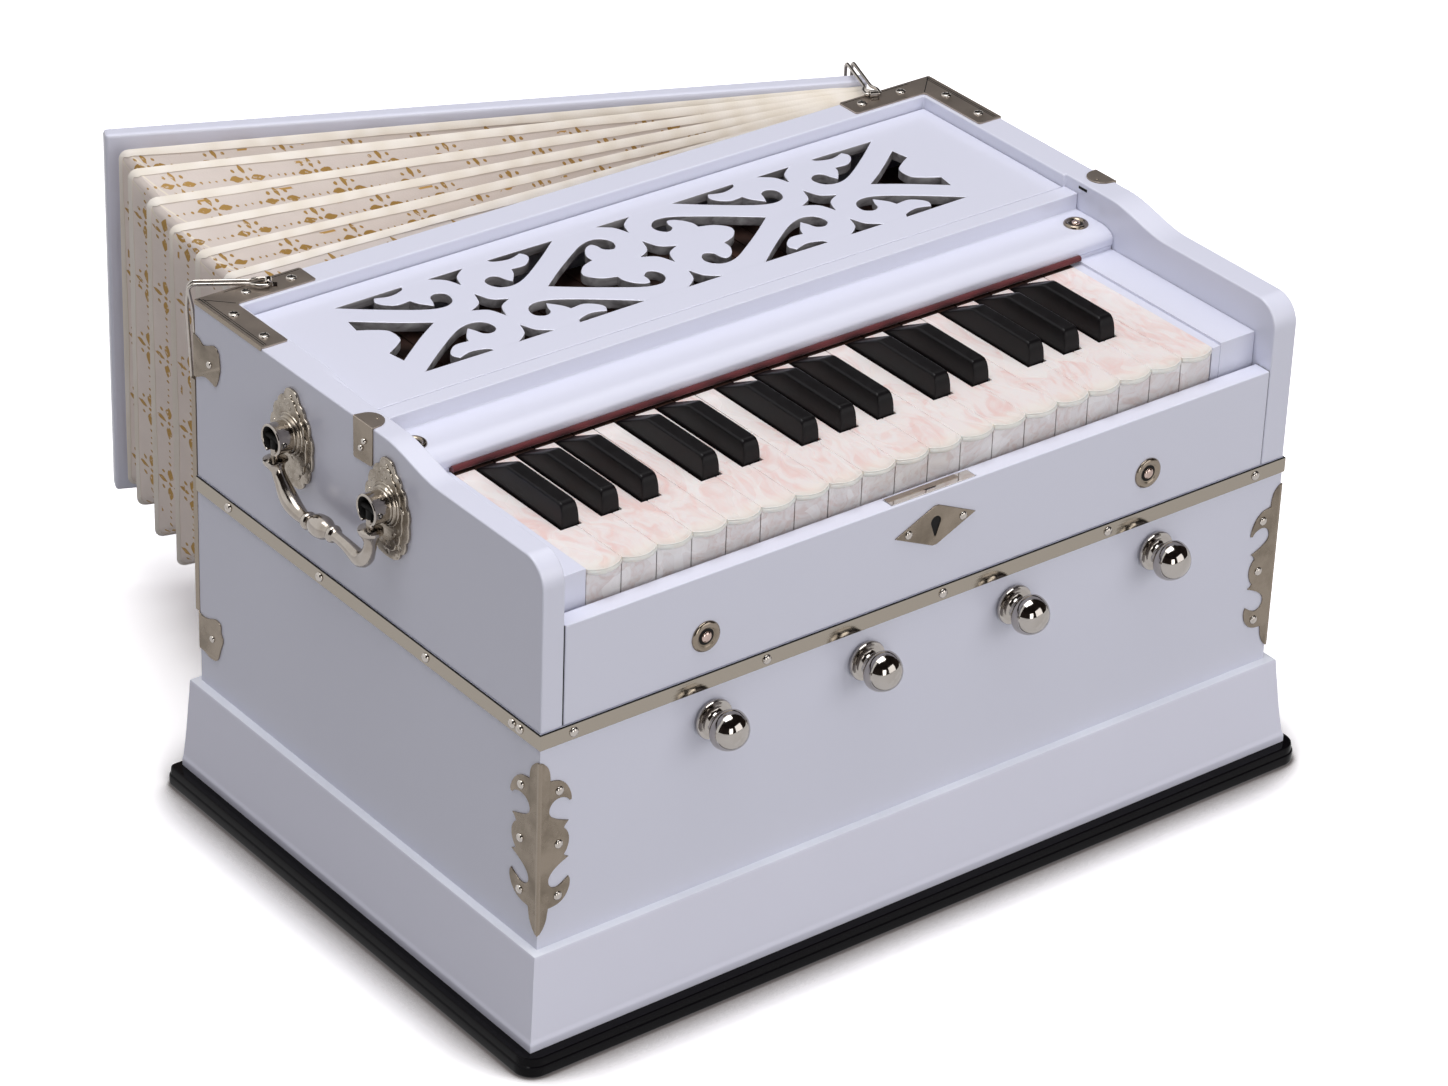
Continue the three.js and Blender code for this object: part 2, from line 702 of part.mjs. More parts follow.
const endChevronShares = [
  [[0.85, 0], [1.22, 0.24], [1.7, 0.6]],
  [[1.7, 0.6], [1.74, 0.35]],
  [[1.74, 0.35], [1.58, 0.26], [1.43, 0.14], [1.4, 0]],
];
const SPLINE_STEPS = 2;

function runPoints(run, place) {
  const points = run.map(([x, y]) => place(x, y));
  if (points.length === 2) {
    return [points[0]];
  }
  const curve = new THREE.SplineCurve(points);
  return curve.getPoints((points.length - 1) * SPLINE_STEPS).slice(0, -1);
}

function holeOutline(runs, place) {
  return runs.flatMap((run) => runPoints(run, place));
}

// A hole drawn as its upper half, with the lower half as a mirror of it
function mirroredOutline(runs, place) {
  const upper = holeOutline(runs, place);
  const lastRun = runs[runs.length - 1];
  const [endX, endY] = lastRun[lastRun.length - 1];
  const lower = holeOutline(runs, (x, y) => place(x, -y)).slice(1).reverse();
  return [...upper, place(endX, endY), ...lower];
}

function fretHoles() {
  const rear = RAIL_Y - FRET_REAR_MARGIN;
  const front = LID_FRONT_Y + FRET_FRONT_MARGIN;
  const centreX = FRET_SHIFT;
  const centreY = (rear + front) / 2;
  const reachX = fretReachShare * CROSSING_PITCH;
  const reachY = (rear - front) / 2;
  const placer = (x, flipX, flipY) => (shareX, shareY) => (
    v2(x + flipX * shareX * reachX, centreY + flipY * shareY * reachY)
  );
  const holes = [];
  [-1, 0, 1].forEach((k) => {
    const x = centreX + k * CROSSING_PITCH;
    holes.push(holeOutline(diamondShares, placer(x, 1, 1)));
    holes.push(holeOutline(edgeTriangleShares, placer(x, 1, 1)));
    holes.push(holeOutline(edgeTriangleShares, placer(x, 1, -1)));
  });
  [-1, 1].forEach((k) => {
    const x = centreX + k * CROSSING_PITCH;
    [-1, 1].forEach((flipX) => {
      holes.push(holeOutline(quarterScrollShares, placer(x, flipX, 1)));
      holes.push(holeOutline(quarterScrollShares, placer(x, flipX, -1)));
    });
    holes.push(mirroredOutline(endChevronShares, placer(x, k, 1)));
    holes.push(mirroredOutline(chevronShares, placer(centreX, k, 1)));
  });
  return holes;
}

function lidAxis() {
  return v3(0, LID_REAR_Y - LID_T / 2, LID_Z + LID_T / 2);
}

function makeFretLid() {
  const end = CHEEK_X - LID_GAP;
  const axis = lidAxis();
  const outline = [v2(-end, LID_FRONT_Y), v2(end, LID_FRONT_Y), v2(end, axis.y), v2(-end, axis.y)];
  const holes = fretHoles().map((hole) => alongZ(hole, [LID_Z - OVERRUN, LID_TOP + OVERRUN]));
  const plate = cut(alongZ(outline, [LID_Z, LID_TOP]), ...holes);
  const edge = rod(LID_T / 2, v3(-end, axis.y, axis.z), v3(end, axis.y, axis.z), ROUND_SIDES);
  const reach = CHEEK_X + LID_PIN_L;
  const pins = rod(LID_PIN_R, v3(-reach, axis.y, axis.z), v3(reach, axis.y, axis.z), ROUND_SIDES);
  addPiece('fret_lid', join(plate, edge, pins), finish.lacquer);
}

// Keys: each lever runs under the name rail to a pallet that closes its reed slot
const groupWhites = [4, 3];
const groupSemitones = [7, 5];
const whiteSteps = [[0, 2, 4, 6], [0, 2, 4]];
const sharpSteps = [[1, 3, 5], [1, 3]];

function keyPlan() {
  const whites = [];
  const sharps = [];
  for (let first = 0, kind = 0; first < WHITE_COUNT; first += groupWhites[kind], kind = 1 - kind) {
    const inGroup = Math.min(groupWhites[kind], WHITE_COUNT - first);
    const left = KEYS_X + first * WHITE_PITCH;
    const band = groupWhites[kind] * WHITE_PITCH / groupSemitones[kind];
    for (let k = 0; k < inGroup; k += 1) {
      const step = whiteSteps[kind][k];
      const alone = inGroup === 1;
      whites.push({
        head: [left + k * WHITE_PITCH, left + (k + 1) * WHITE_PITCH],
        neck: alone ? [left, left + WHITE_PITCH] : [left + step * band, left + (step + 1) * band],
      });
    }
    if (inGroup === groupWhites[kind]) {
      sharpSteps[kind].forEach((step) => {
        sharps.push({ band: [left + step * band, left + (step + 1) * band] });
      });
    }
  }
  return { whites, sharps };
}

function lipOutline(left, right) {
  const points = [v2(left, KEY_FRONT_Y + BITE), v2(left, KEY_FRONT_Y)];
  const steps = 2 * CORNER_STEPS;
  for (let i = 1; i < steps; i += 1) {
    const share = i / steps;
    const out = LIP_OUT * Math.sin(Math.PI * share);
    points.push(v2(left + share * (right - left), KEY_FRONT_Y - out));
  }
  points.push(v2(right, KEY_FRONT_Y), v2(right, KEY_FRONT_Y + BITE));
  return points;
}

function pallet(left, right) {
  const back = KEY_TAIL_Y - PALLET_TAIL;
  return block([left, right], [back - PALLET_L, back], [LEVER_Z - PALLET_T, LEVER_Z + BITE]);
}

function makeWhiteKey(number, { head, neck }) {
  const centre = (neck[0] + neck[1]) / 2;
  const headLeft = head[0] + WHITE_GAP / 2 - centre;
  const headRight = head[1] - WHITE_GAP / 2 - centre;
  const neckLeft = Math.max(neck[0] - centre + LEVER_GAP / 2, headLeft);
  const neckRight = Math.min(neck[1] - centre - LEVER_GAP / 2, headRight);
  const headBack = SHARP_FRONT_Y - WHITE_NOTCH_GAP;
  const plan = [v2(headLeft, KEY_FRONT_Y), v2(headRight, KEY_FRONT_Y), v2(headRight, headBack),
    v2(neckRight, headBack), v2(neckRight, KEY_TAIL_Y), v2(neckLeft, KEY_TAIL_Y),
    v2(neckLeft, headBack), v2(headLeft, headBack)];
  const lever = alongZ(plan, [LEVER_Z, KEY_TOP]);
  const lip = alongZ(lipOutline(headLeft, headRight), [KEY_TOP - LIP_T, KEY_TOP]);
  const key = join(lever, lip, pallet(neckLeft, neckRight));
  addPiece(`white_key_${number}`, key, finish.pearl, v3(centre, 0, 0));
}

// One slice across a sharp's cap at a height above its seat
function capRing(y, rise, seat) {
  const height = rise + SHARP_SEAT_DEPTH;
  const full = SHARP_RISE + SHARP_SEAT_DEPTH;
  const base = SHARP_BASE_W / 2;
  const top = base - (SHARP_BASE_W - SHARP_TOP_W) / 2 * height / full;
  const edge = Math.min(SHARP_EDGE, height / 2);
  return [v3(-base, y, seat), v3(base, y, seat), v3(top, y, seat + height - edge),
    v3(top - edge, y, seat + height), v3(edge - top, y, seat + height), v3(-top, y, seat + height - edge)];
}

const capNoseShares = [[0, 0.1], [0.12, 0.55], [0.4, 0.9], [1, 1]];

function makeSharpKey(number, { band }) {
  const centre = (band[0] + band[1]) / 2;
  const half = (band[1] - band[0] - LEVER_GAP) / 2;
  const seat = KEY_TOP - SHARP_SEAT_DEPTH;
  const flatBack = SHARP_FRONT_Y + SHARP_NOSE + SHARP_FLAT_L;
  const rings = capNoseShares.map(([along, up]) => (
    capRing(SHARP_FRONT_Y + along * SHARP_NOSE, up * SHARP_RISE, seat)
  ));
  rings.push(capRing(flatBack, SHARP_RISE, seat));
  rings.push(capRing(flatBack + SHARP_SLOPE_L, SHARP_SEAT_DEPTH, seat));
  const lever = block([-half, half], [SHARP_FRONT_Y, KEY_TAIL_Y], [LEVER_Z, seat + BITE]);
  const key = join(cappedRings(rings), lever, pallet(-half, half));
  addPiece(`sharp_key_${number}`, key, finish.ebony, v3(centre, 0, 0));
}

function makeKeys() {
  const { whites, sharps } = keyPlan();
  whites.forEach((white, i) => makeWhiteKey(i + 1, white));
  sharps.forEach((sharp, i) => makeSharpKey(i + 1, sharp));
}

// Key frame: the bed with its front rail, the balance rail and the two end blocks
function balanceRail(end) {
  const top = PIVOT_Z - SEAT_GAP;
  const half = BALANCE_RAIL_D / 2;
  const outline = [v2(PIVOT_Y - half, BED_TOP - BITE), v2(PIVOT_Y + half, BED_TOP - BITE),
    v2(PIVOT_Y + half, top - BALANCE_SHOULDER), v2(PIVOT_Y + BALANCE_RIDGE_W / 2, top),
    v2(PIVOT_Y - BALANCE_RIDGE_W / 2, top), v2(PIVOT_Y - half, top - BALANCE_SHOULDER)];
  return alongX(outline, [-end, end]);
}

function makeKeyFrame() {
  const end = CHEEK_X - FIT_GAP;
  const bedBack = RAIL_Y - FIT_GAP;
  const bed = block([-end, end], [BED_FRONT_Y, bedBack], [SEAM_Z, BED_TOP]);
  const inset = REED_CHEST_INSET + REED_CHEST_WALL;
  const airway = block(
    [-CHEEK_X + inset, CHEEK_X - inset],
    [CHEST_FRONT_Y + REED_CHEST_WALL, CHEST_REAR_Y - REED_CHEST_WALL],
    [SEAM_Z - OVERRUN, BED_TOP + OVERRUN],
  );
  const railFront = KEY_FRONT_Y + FRONT_RAIL_SETBACK;
  const railZ = [BED_TOP - BITE, BED_TOP + FRONT_RAIL_H];
  const frontRail = block([-end, end], [railFront, railFront + FRONT_RAIL_D], railZ);
  const blockY = [FRONT_Y + BLOCK_SETBACK, PIVOT_Y - BALANCE_RAIL_D];
  const blockZ = [BED_TOP - BITE, KEY_TOP + BLOCK_PROUD];
  const leftBlock = block([-end, KEYS_X - FIT_GAP], blockY, blockZ);
  const rightBlock = block([CHEEK_X - RIGHT_BLOCK_W, end], blockY, blockZ);
  const frame = join(cut(bed, airway), frontRail, balanceRail(end), leftBlock, rightBlock);
  addPiece('key_frame', frame, finish.darkWood);
}

// Reed board: a shallow chest, open below, with one slot for each key
function makeReedBoard() {
  const side = CHEEK_X - REED_CHEST_INSET;
  const back = CHEST_REAR_Y;
  const chest = block([-side, side], [CHEST_FRONT_Y, back], [BED_TOP, CHEST_TOP]);
  const wall = REED_CHEST_WALL;
  const room = block(
    [-side + wall, side - wall],
    [CHEST_FRONT_Y + wall, back - wall],
    [BED_TOP - OVERRUN, CHEST_TOP - REED_TOP_T],
  );
  let board = cut(chest, room);
  const { whites, sharps } = keyPlan();
  const bands = [...whites.map((white) => white.neck), ...sharps.map((sharp) => sharp.band)];
  const slotY = KEY_TAIL_Y - PALLET_TAIL - PALLET_L / 2;
  bands.forEach(([left, right]) => {
    const x = (left + right) / 2;
    const slot = block(
      [x - REED_SLOT_W / 2, x + REED_SLOT_W / 2],
      [slotY - REED_SLOT_L / 2, slotY + REED_SLOT_L / 2],
      [CHEST_TOP - REED_TOP_T - OVERRUN, CHEST_TOP + OVERRUN],
    );
    board = cut(board, slot);
  });
  addPiece('reed_board', board, finish.rawWood);
}

// Reservoir: a sprung board on cloth folds that hangs under the bed
function makeReservoir() {
  const x0 = RESERVOIR_SHIFT - RESERVOIR_W / 2;
  const x1 = RESERVOIR_SHIFT + RESERVOIR_W / 2;
  const y = RESERVOIR_D / 2;
  const foldH = RESERVOIR_H - RESERVOIR_BOARD_T;
  const top = SEAM_Z - SEAT_GAP;
  const ring = (down, inset) => [v3(x0 + inset, inset - y, top - down), v3(x1 - inset, inset - y, top - down),
    v3(x1 - inset, y - inset, top - down), v3(x0 + inset, y - inset, top - down)];
  const folds = [ring(0, 0), ring(foldH / 2, RESERVOIR_FOLD), ring(foldH, 0), ring(RESERVOIR_H, 0)];
  const inner = [ring(RESERVOIR_H - RESERVOIR_BOARD_T, RESERVOIR_WALL),
    ring(foldH / 2, RESERVOIR_FOLD + RESERVOIR_WALL), ring(0, RESERVOIR_WALL)];
  const shell = cut(cappedRings(folds), cappedRings([...inner, ring(-OVERRUN, RESERVOIR_WALL)]));
  addPiece('reservoir', shell, finish.darkWood);
}

// Stop knobs: a mushroom head, a collar and a rod that slides through the front wall
const knobHeadShares = [[0.45, 0], [0.86, 0.14], [1, 0.42], [0.95, 0.64], [0.76, 0.85], [0.42, 0.97],
  [0, 1]];
const KNOB_SIDES = 14;

function knobProfile() {
  const flange = KNOB_ROD_L + KNOB_STANDOFF;
  const neck = flange + KNOB_FLANGE_T;
  const head = neck + KNOB_NECK_L;
  const profile = [v2(0, 0), v2(KNOB_ROD_R, 0), v2(KNOB_ROD_R, flange), v2(KNOB_FLANGE_R, flange),
    v2(KNOB_FLANGE_R, neck), v2(KNOB_NECK_R, neck), v2(KNOB_NECK_R, head)];
  knobHeadShares.forEach(([out, along]) => profile.push(v2(out * KNOB_R, head + along * KNOB_DEPTH)));
  return profile;
}

function makeStopKnobs() {
  const knob = turned(knobProfile(), KNOB_SIDES, v3(0, 0, 0), v3(0, -1, 0));
  for (let k = 0; k < KNOB_COUNT; k += 1) {
    addPiece(`stop_knob_${k + 1}`, knob, finish.polishedNickel, v3(knobX(k), FRONT_Y + KNOB_ROD_L, KNOB_Z));
  }
}

// Corner brackets: an L of sheet metal on each rear top corner, with the latch's staple
const bracketScrewShares = { rear: [0.41, 0.84], side: [0.4, 0.84] };

function staple(side) {
  const { eye, axis } = latchEye(side);
  const from = eye.clone().addScaledVector(axis, -STAPLE_L / 2);
  const to = eye.clone().addScaledVector(axis, STAPLE_L / 2);
  const barrel = rod(STAPLE_R, from, to, 2 * RIVET_SIDES);
  const over = STAPLE_L;
  const bore = rod(
    STAPLE_BORE_R,
    from.clone().addScaledVector(axis, -over),
    to.clone().addScaledVector(axis, over),
    2 * RIVET_SIDES,
  );
  const foot = block([-STAPLE_R, STAPLE_R], [-STAPLE_L / 2, STAPLE_L / 2], [-STAPLE_RISE, 0]);
  const turn = Math.atan2(-axis.x, axis.y) * HALF_TURN_DEG / Math.PI;
  const placed = foot.rotate([0, 0, turn]).translate([eye.x, eye.y, eye.z]);
  return { body: join(barrel, placed), bore };
}

const HALF_TURN_DEG = 180;

function makeBracket(side) {
  const edge = side * SIDE_X;
  const inner = side * (SIDE_X - BRACKET_W);
  const tip = side * (SIDE_X - BRACKET_REAR_L);
  const front = REAR_Y - BRACKET_SIDE_L;
  const r = BRACKET_ROUND;
  const outline = [v2(edge, REAR_Y), v2(edge, front + r), v2(edge - side * r, front),
    v2(inner + side * r, front), v2(inner, front + r), v2(inner, REAR_Y - BRACKET_W),
    v2(tip + side * r, REAR_Y - BRACKET_W), v2(tip, REAR_Y - BRACKET_W + r),
    v2(tip, REAR_Y - r), v2(tip + side * r, REAR_Y)];
  const { body, bore } = staple(side);
  const plateZ = [TOP_Z, TOP_Z + BRACKET_T];
  const slab = block([-CASE_W, CASE_W], [-CASE_D, CASE_D], [TOP_Z, TOP_Z + CASE_D]);
  let plate = join(alongZ(outline, plateZ), body.intersect(slab));
  bracketScrewShares.rear.forEach((share) => {
    const x = side * (SIDE_X - share * BRACKET_REAR_L);
    const foot = v3(x, REAR_Y - BRACKET_W / 2, TOP_Z + BRACKET_T);
    plate = join(plate, dome(SCREW_R, SCREW_H, foot, AXIS_Z));
  });
  bracketScrewShares.side.forEach((share) => {
    const foot = v3(side * (SIDE_X - BRACKET_W / 2), REAR_Y - share * BRACKET_SIDE_L, TOP_Z + BRACKET_T);
    plate = join(plate, dome(SCREW_R, SCREW_H, foot, AXIS_Z));
  });
  const name = side < 0 ? 'top_bracket_left' : 'top_bracket_right';
  addPiece(name, cut(plate, bore), finish.nickel);
}

// Wire latches: a hairpin of wire that swings in its staple and hooks over the bellows board
const latchPlans = {
  left: { eyeFromCorner: v2(LEFT_EYE_IN, LEFT_EYE_BACK), arm: v2(-0.851, 0.525) },
  right: { eyeFromCorner: v2(RIGHT_EYE_IN, RIGHT_EYE_BACK), arm: v2(0.354, 0.935) },
};

function latchEye(side) {
  const plan = side < 0 ? latchPlans.left : latchPlans.right;
  const x = side * (SIDE_X - plan.eyeFromCorner.x);
  const y = REAR_Y - plan.eyeFromCorner.y;
  const arm = v3(plan.arm.x, plan.arm.y, 0).normalize();
  const axis = v3(-arm.y * side, arm.x * side, 0);
  return { eye: v3(x, y, TOP_Z + STAPLE_RISE), arm, axis };
}

const WIRE_SIDES = 6;
const WIRE_STEPS = 66;

function makeLatch(side) {
  const { eye, arm, axis } = latchEye(side);
  const at = (along, across, down) => eye.clone()
    .addScaledVector(arm, along).addScaledVector(axis, across).add(v3(0, 0, -down));
  const half = [
    [0, WIRE_END_GAP, 0], [0, WIRE_EYE_OUT - WIRE_R, 0], [WIRE_R, WIRE_EYE_OUT, 0],
    [WIRE_NECK / 2, WIRE_EYE_OUT, 0], [WIRE_NECK, WIRE_SPREAD, 0],
    [LATCH_ARM - LATCH_ROUND, WIRE_SPREAD, 0], [LATCH_ARM - LATCH_ROUND / 4, WIRE_SPREAD, LATCH_ROUND / 4],
    [LATCH_ARM, WIRE_SPREAD, LATCH_ROUND], [LATCH_ARM, WIRE_SPREAD, LATCH_LEG / 2],
    [LATCH_ARM, WIRE_SPREAD, LATCH_LEG - 2 * LATCH_LOOP_W], [LATCH_ARM, LATCH_LOOP_W / 2, LATCH_LEG - LATCH_LOOP_W],
  ];
  const there = half.map(([along, across, down]) => at(along, across, down));
  const back = half.map(([along, across, down]) => at(along, -across, down)).reverse();
  const points = [...there, at(LATCH_ARM, 0, LATCH_LEG), ...back];
  const name = side < 0 ? 'latch_left' : 'latch_right';
  addPiece(name, tube(points, WIRE_R, WIRE_SIDES, WIRE_STEPS), finish.nickel);
}

// Handle sockets: an ornate plate with a barrel that is slotted below for the handle's shank
const socketShares = [[0, 1], [0.14, 0.97], [0.22, 0.87], [0.2, 0.76], [0.42, 0.69], [0.48, 0.54],
  [0.7, 0.46], [0.76, 0.28], [1, 0.2], [0.9, 0.02], [0.96, -0.2], [0.8, -0.38], [0.82, -0.54],
  [0.58, -0.64], [0.54, -0.8], [0.28, -0.84], [0.18, -0.96], [0, -1]];

function makeSocket(name, side, y) {
  const right = socketShares.map(([across, up]) => (
    v2(across * SOCKET_W / 2, up * SOCKET_H / 2 - PLATE_SHIFT)
  ));
  const left = right.slice(1, -1).map((point) => v2(-point.x, point.y)).reverse();
  const flat = [0, SOCKET_PLATE_T];
  const plate = alongX([...right, ...left], flat);
  const tip = BARREL_OUT;
  const sides = ROUND_SIDES;
  const barrel = rod(BARREL_R, v3(SOCKET_PLATE_T / 2, 0, 0), v3(tip, 0, 0), sides);
  const room = rod(BARREL_R - BARREL_WALL, v3(SOCKET_PLATE_T, 0, 0), v3(tip + OVERRUN, 0, 0), sides);
  const slot = block(
    [tip - BARREL_SLOT_L, tip + OVERRUN],
    [-BARREL_SLOT_W / 2, BARREL_SLOT_W / 2],
    [-BARREL_R - OVERRUN, 0],
  );
  const pinR = HANDLE_PIN_R + HANDLE_PIN_GAP;
  const pinHole = rod(pinR, v3(PIVOT_OUT, -HANDLE_PIN_L, 0), v3(PIVOT_OUT, HANDLE_PIN_L, 0), sides);
  const socket = cut(join(plate, barrel), room, slot, pinHole);
  const turn = side < 0 ? [0, 0, HALF_TURN_DEG] : [0, 0, 0];
  addPiece(name, socket.rotate(turn), finish.nickel, v3(side * SIDE_X, y, SOCKET_Z));
}

// Carrying handles: a cast bail that swells and narrows, with collars and a bulb, on two cross pins
// Each station is a place along and down the bail, and its thickness, as shares
const bailEndShares = [[0, 0, 0.38], [0, 0.307, 0.38], [0, 0.312, 0.7], [0, 0.345, 0.98], [0.004, 0.385, 0.9]];
const bailRearShares = [[0.025, 0.47, 0.52], [0.07, 0.64, 0.56], [0.12, 0.79, 0.76], [0.18, 0.9, 0.78],
  [0.26, 0.965, 0.66], [0.33, 0.975, 0.56], [0.355, 0.97, 0.74], [0.385, 0.955, 0.6], [0.425, 0.935, 0.84],
  [0.475, 0.915, 1]];
const bailFrontShares = [[0.002, 0.55, 0.46], [0.02, 0.74, 0.52], [0.055, 0.88, 0.68], [0.1, 0.95, 0.72],
  [0.16, 0.94, 0.64], [0.23, 0.905, 0.55], [0.31, 0.885, 0.5], [0.365, 0.88, 0.55], [0.39, 0.88, 0.75],
  [0.42, 0.88, 0.62], [0.46, 0.89, 0.86], [0.495, 0.905, 1]];
const BAIL_SIDES = 8;

function bailStations() {
  const span = SOCKET_REAR_Y - SOCKET_FRONT_Y;
  const station = (y, down, thick) => ({ y, z: -down * HANDLE_DROP, radius: thick * HANDLE_BULB_R });
  const rear = [...bailEndShares, ...bailRearShares]
    .map(([along, down, thick]) => station(SOCKET_REAR_Y - along * span, down, thick));
  const front = [...bailEndShares, ...bailFrontShares]
    .map(([along, down, thick]) => station(SOCKET_FRONT_Y + along * span, down, thick));
  return [...rear, ...front.reverse()];
}

function bailRing(before, here, after) {
  const along = v2(after.y - before.y, after.z - before.z).normalize();
  const ring = [];
  circle(here.radius, BAIL_SIDES).forEach((point) => {
    ring.push(v3(point.x, here.y - along.y * point.y, here.z + along.x * point.y));
  });
  return ring;
}

function makeHandle(side) {
  const stations = bailStations();
  const rings = stations.map((here, i) => {
    const before = stations[Math.max(i - 1, 0)];
    const after = stations[Math.min(i + 1, stations.length - 1)];
    return bailRing(before, here, after);
  });
  let bail = cappedRings(rings);
  [SOCKET_REAR_Y, SOCKET_FRONT_Y].forEach((y) => {
    const pinFrom = v3(0, y - HANDLE_PIN_L / 2, 0);
    const pinTo = v3(0, y + HANDLE_PIN_L / 2, 0);
    bail = join(bail, rod(HANDLE_PIN_R, pinFrom, pinTo, BAIL_SIDES));
  });
  const name = side < 0 ? 'handle_left' : 'handle_right';
  addPiece(name, bail, finish.nickel, v3(side * (SIDE_X + PIVOT_OUT), 0, SOCKET_Z));
}

function makeHandles() {
  [['left', -1], ['right', 1]].forEach(([word, side]) => {
    makeSocket(`handle_socket_${word}_rear`, side, SOCKET_REAR_Y);
    makeSocket(`handle_socket_${word}_front`, side, SOCKET_FRONT_Y);
    makeHandle(side);
  });
}

// Bellows board: it swings on two butt hinges at its right end
const fanAngle = FAN_ANGLE * Math.PI / HALF_TURN_DEG;
const alongBoard = v3(-Math.cos(fanAngle), Math.sin(fanAngle), 0);
const outOfBoard = v3(Math.sin(fanAngle), Math.cos(fanAngle), 0);

function hingeHeights() {
  return [BOARD_BOTTOM + HINGE_INSET, BOARD_TOP - HINGE_INSET];
}

// A slab that lies along the board, in distances from the hinge line
function boardSlab([a0, a1], [n0, n1], [z0, z1]) {
  const corner = (a, n) => {
    const x = HINGE_X + alongBoard.x * a + outOfBoard.x * n;
    const y = HINGE_Y + alongBoard.y * a + outOfBoard.y * n;
    return v2(x, y);
  };
  return alongZ([corner(a0, n0), corner(a0, n1), corner(a1, n1), corner(a1, n0)], [z0, z1]);
}

function knuckle(z, length, radius) {
  return rod(radius, v3(HINGE_X, HINGE_Y, z - length / 2), v3(HINGE_X, HINGE_Y, z + length / 2), ROUND_SIDES);
}

const inletGroupShares = [0.35, 0.72];
const INLET_Z_SHARE = 0.42;

function makeBellowsBoard() {
  const boardZ = [BOARD_BOTTOM, BOARD_TOP];
  let board = boardSlab([HINGE_TO_BOARD, HINGE_TO_BOARD + BOARD_L], [0, BOARD_T], boardZ);
  const boreR = HINGE_PIN_R + HINGE_BORE_GAP;
  hingeHeights().forEach((z) => {
    const leafZ = [z - HINGE_KNUCKLE_L / 2, z + HINGE_KNUCKLE_L / 2];
    const leaf = boardSlab([0, HINGE_TO_BOARD + HINGE_LEAF_L], [0, HINGE_LEAF_T], leafZ);
    board = join(board, leaf, knuckle(z, HINGE_KNUCKLE_L, HINGE_R));
    board = cut(board, knuckle(z, HINGE_KNUCKLE_L + OVERRUN, boreR));
  });
  const z = BOARD_BOTTOM + INLET_Z_SHARE * (BOARD_TOP - BOARD_BOTTOM);
  inletGroupShares.forEach((share) => {
    const along = HINGE_TO_BOARD + share * BOARD_L;
    for (let k = 0; k < INLET_RING; k += 1) {
      const angle = FULL_TURN * k / INLET_RING;
      const a = along + INLET_PITCH * Math.cos(angle);
      const from = v3(HINGE_X, HINGE_Y, z + INLET_PITCH * Math.sin(angle))
        .addScaledVector(alongBoard, a).addScaledVector(outOfBoard, -OVERRUN);
      const to = from.clone().addScaledVector(outOfBoard, BOARD_T + 2 * OVERRUN);
      board = cut(board, rod(INLET_R, from, to, RIVET_SIDES));
    }
  });
  addPiece('bellows_board', board, finish.lacquer);
}

// Hinge batten: the strip on the case that carries the hinge pins
function makeHingeBatten() {
  const x0 = HINGE_X + BATTEN_FROM_HINGE;
  const boardZ = [BOARD_BOTTOM, BOARD_TOP];
  let batten = block([x0, x0 + BATTEN_W], [REAR_Y, HINGE_Y - HINGE_LEAF_T], boardZ);
  hingeHeights().forEach((z) => {
    const pitch = HINGE_KNUCKLE_L + HINGE_KNUCKLE_GAP;
    batten = join(batten, knuckle(z, 3 * HINGE_KNUCKLE_L, HINGE_PIN_R));
    [-1, 1].forEach((k) => {
      const leafZ = [z + k * pitch - HINGE_KNUCKLE_L / 2, z + k * pitch + HINGE_KNUCKLE_L / 2];
      const leaf = block([HINGE_X, x0 + BATTEN_W], [HINGE_Y - HINGE_LEAF_T - BITE, HINGE_Y], leafZ);
      batten = join(batten, leaf, knuckle(z + k * pitch, HINGE_KNUCKLE_L, HINGE_R));
    });
  });
  addPiece('hinge_batten', batten, finish.darkWood);
}

// Bellows folds: a paper wall, folded like a fan between the case and the board
const ridgeShares = [0.121, 0.273, 0.4405, 0.617, 0.8045, 0.929];
const foldRunShares = [0, 0.3, 0.6, 0.85, 1];

function foldStations() {
  const stations = [{ share: 0, valley: true }];
  ridgeShares.forEach((share, k) => {
    const before = k === 0 ? 0 : ridgeShares[k - 1];
    if (k > 0) {
      stations.push({ share: (before + share) / 2, valley: true });
    }
    stations.push({ share, valley: false });
  });
  stations.push({ share: 1, valley: true });
  return stations;
}

// The two upright edges of the fan at a share of its opening, left and right
function foldEdges(share) {
  const caseLeft = v2(FOLD_APEX_X - Math.sqrt(FOLD_CASE_R ** 2 - FOLD_APEX_BACK ** 2), REAR_Y + SEAT_GAP);
  const caseRight = v2(HINGE_X - FOLD_END_IN, REAR_Y + SEAT_GAP);
  const face = (along) => v2(
    HINGE_X + alongBoard.x * along - outOfBoard.x * SEAT_GAP,
    HINGE_Y + alongBoard.y * along - outOfBoard.y * SEAT_GAP,
  );
  const boardLeft = face(HINGE_TO_BOARD + BOARD_L - FOLD_END_INSET);
  const boardRight = face(HINGE_TO_BOARD + FOLD_END_INSET);
  const apex = v2(FOLD_APEX_X, FOLD_APEX_Y);
  const startAngle = Math.atan2(caseLeft.y - apex.y, apex.x - caseLeft.x);
  const endAngle = Math.atan2(boardLeft.y - apex.y, apex.x - boardLeft.x);
  const angle = startAngle + share * (endAngle - startAngle);
  const swing = v2(apex.x - FOLD_R * Math.cos(angle), apex.y + FOLD_R * Math.sin(angle));
  const atEnd = share === 0 || share === 1;
  const left = atEnd ? (share === 0 ? caseLeft : boardLeft) : swing;
  const right = caseRight.clone().lerp(boardRight, share);
  return { left, right };
}

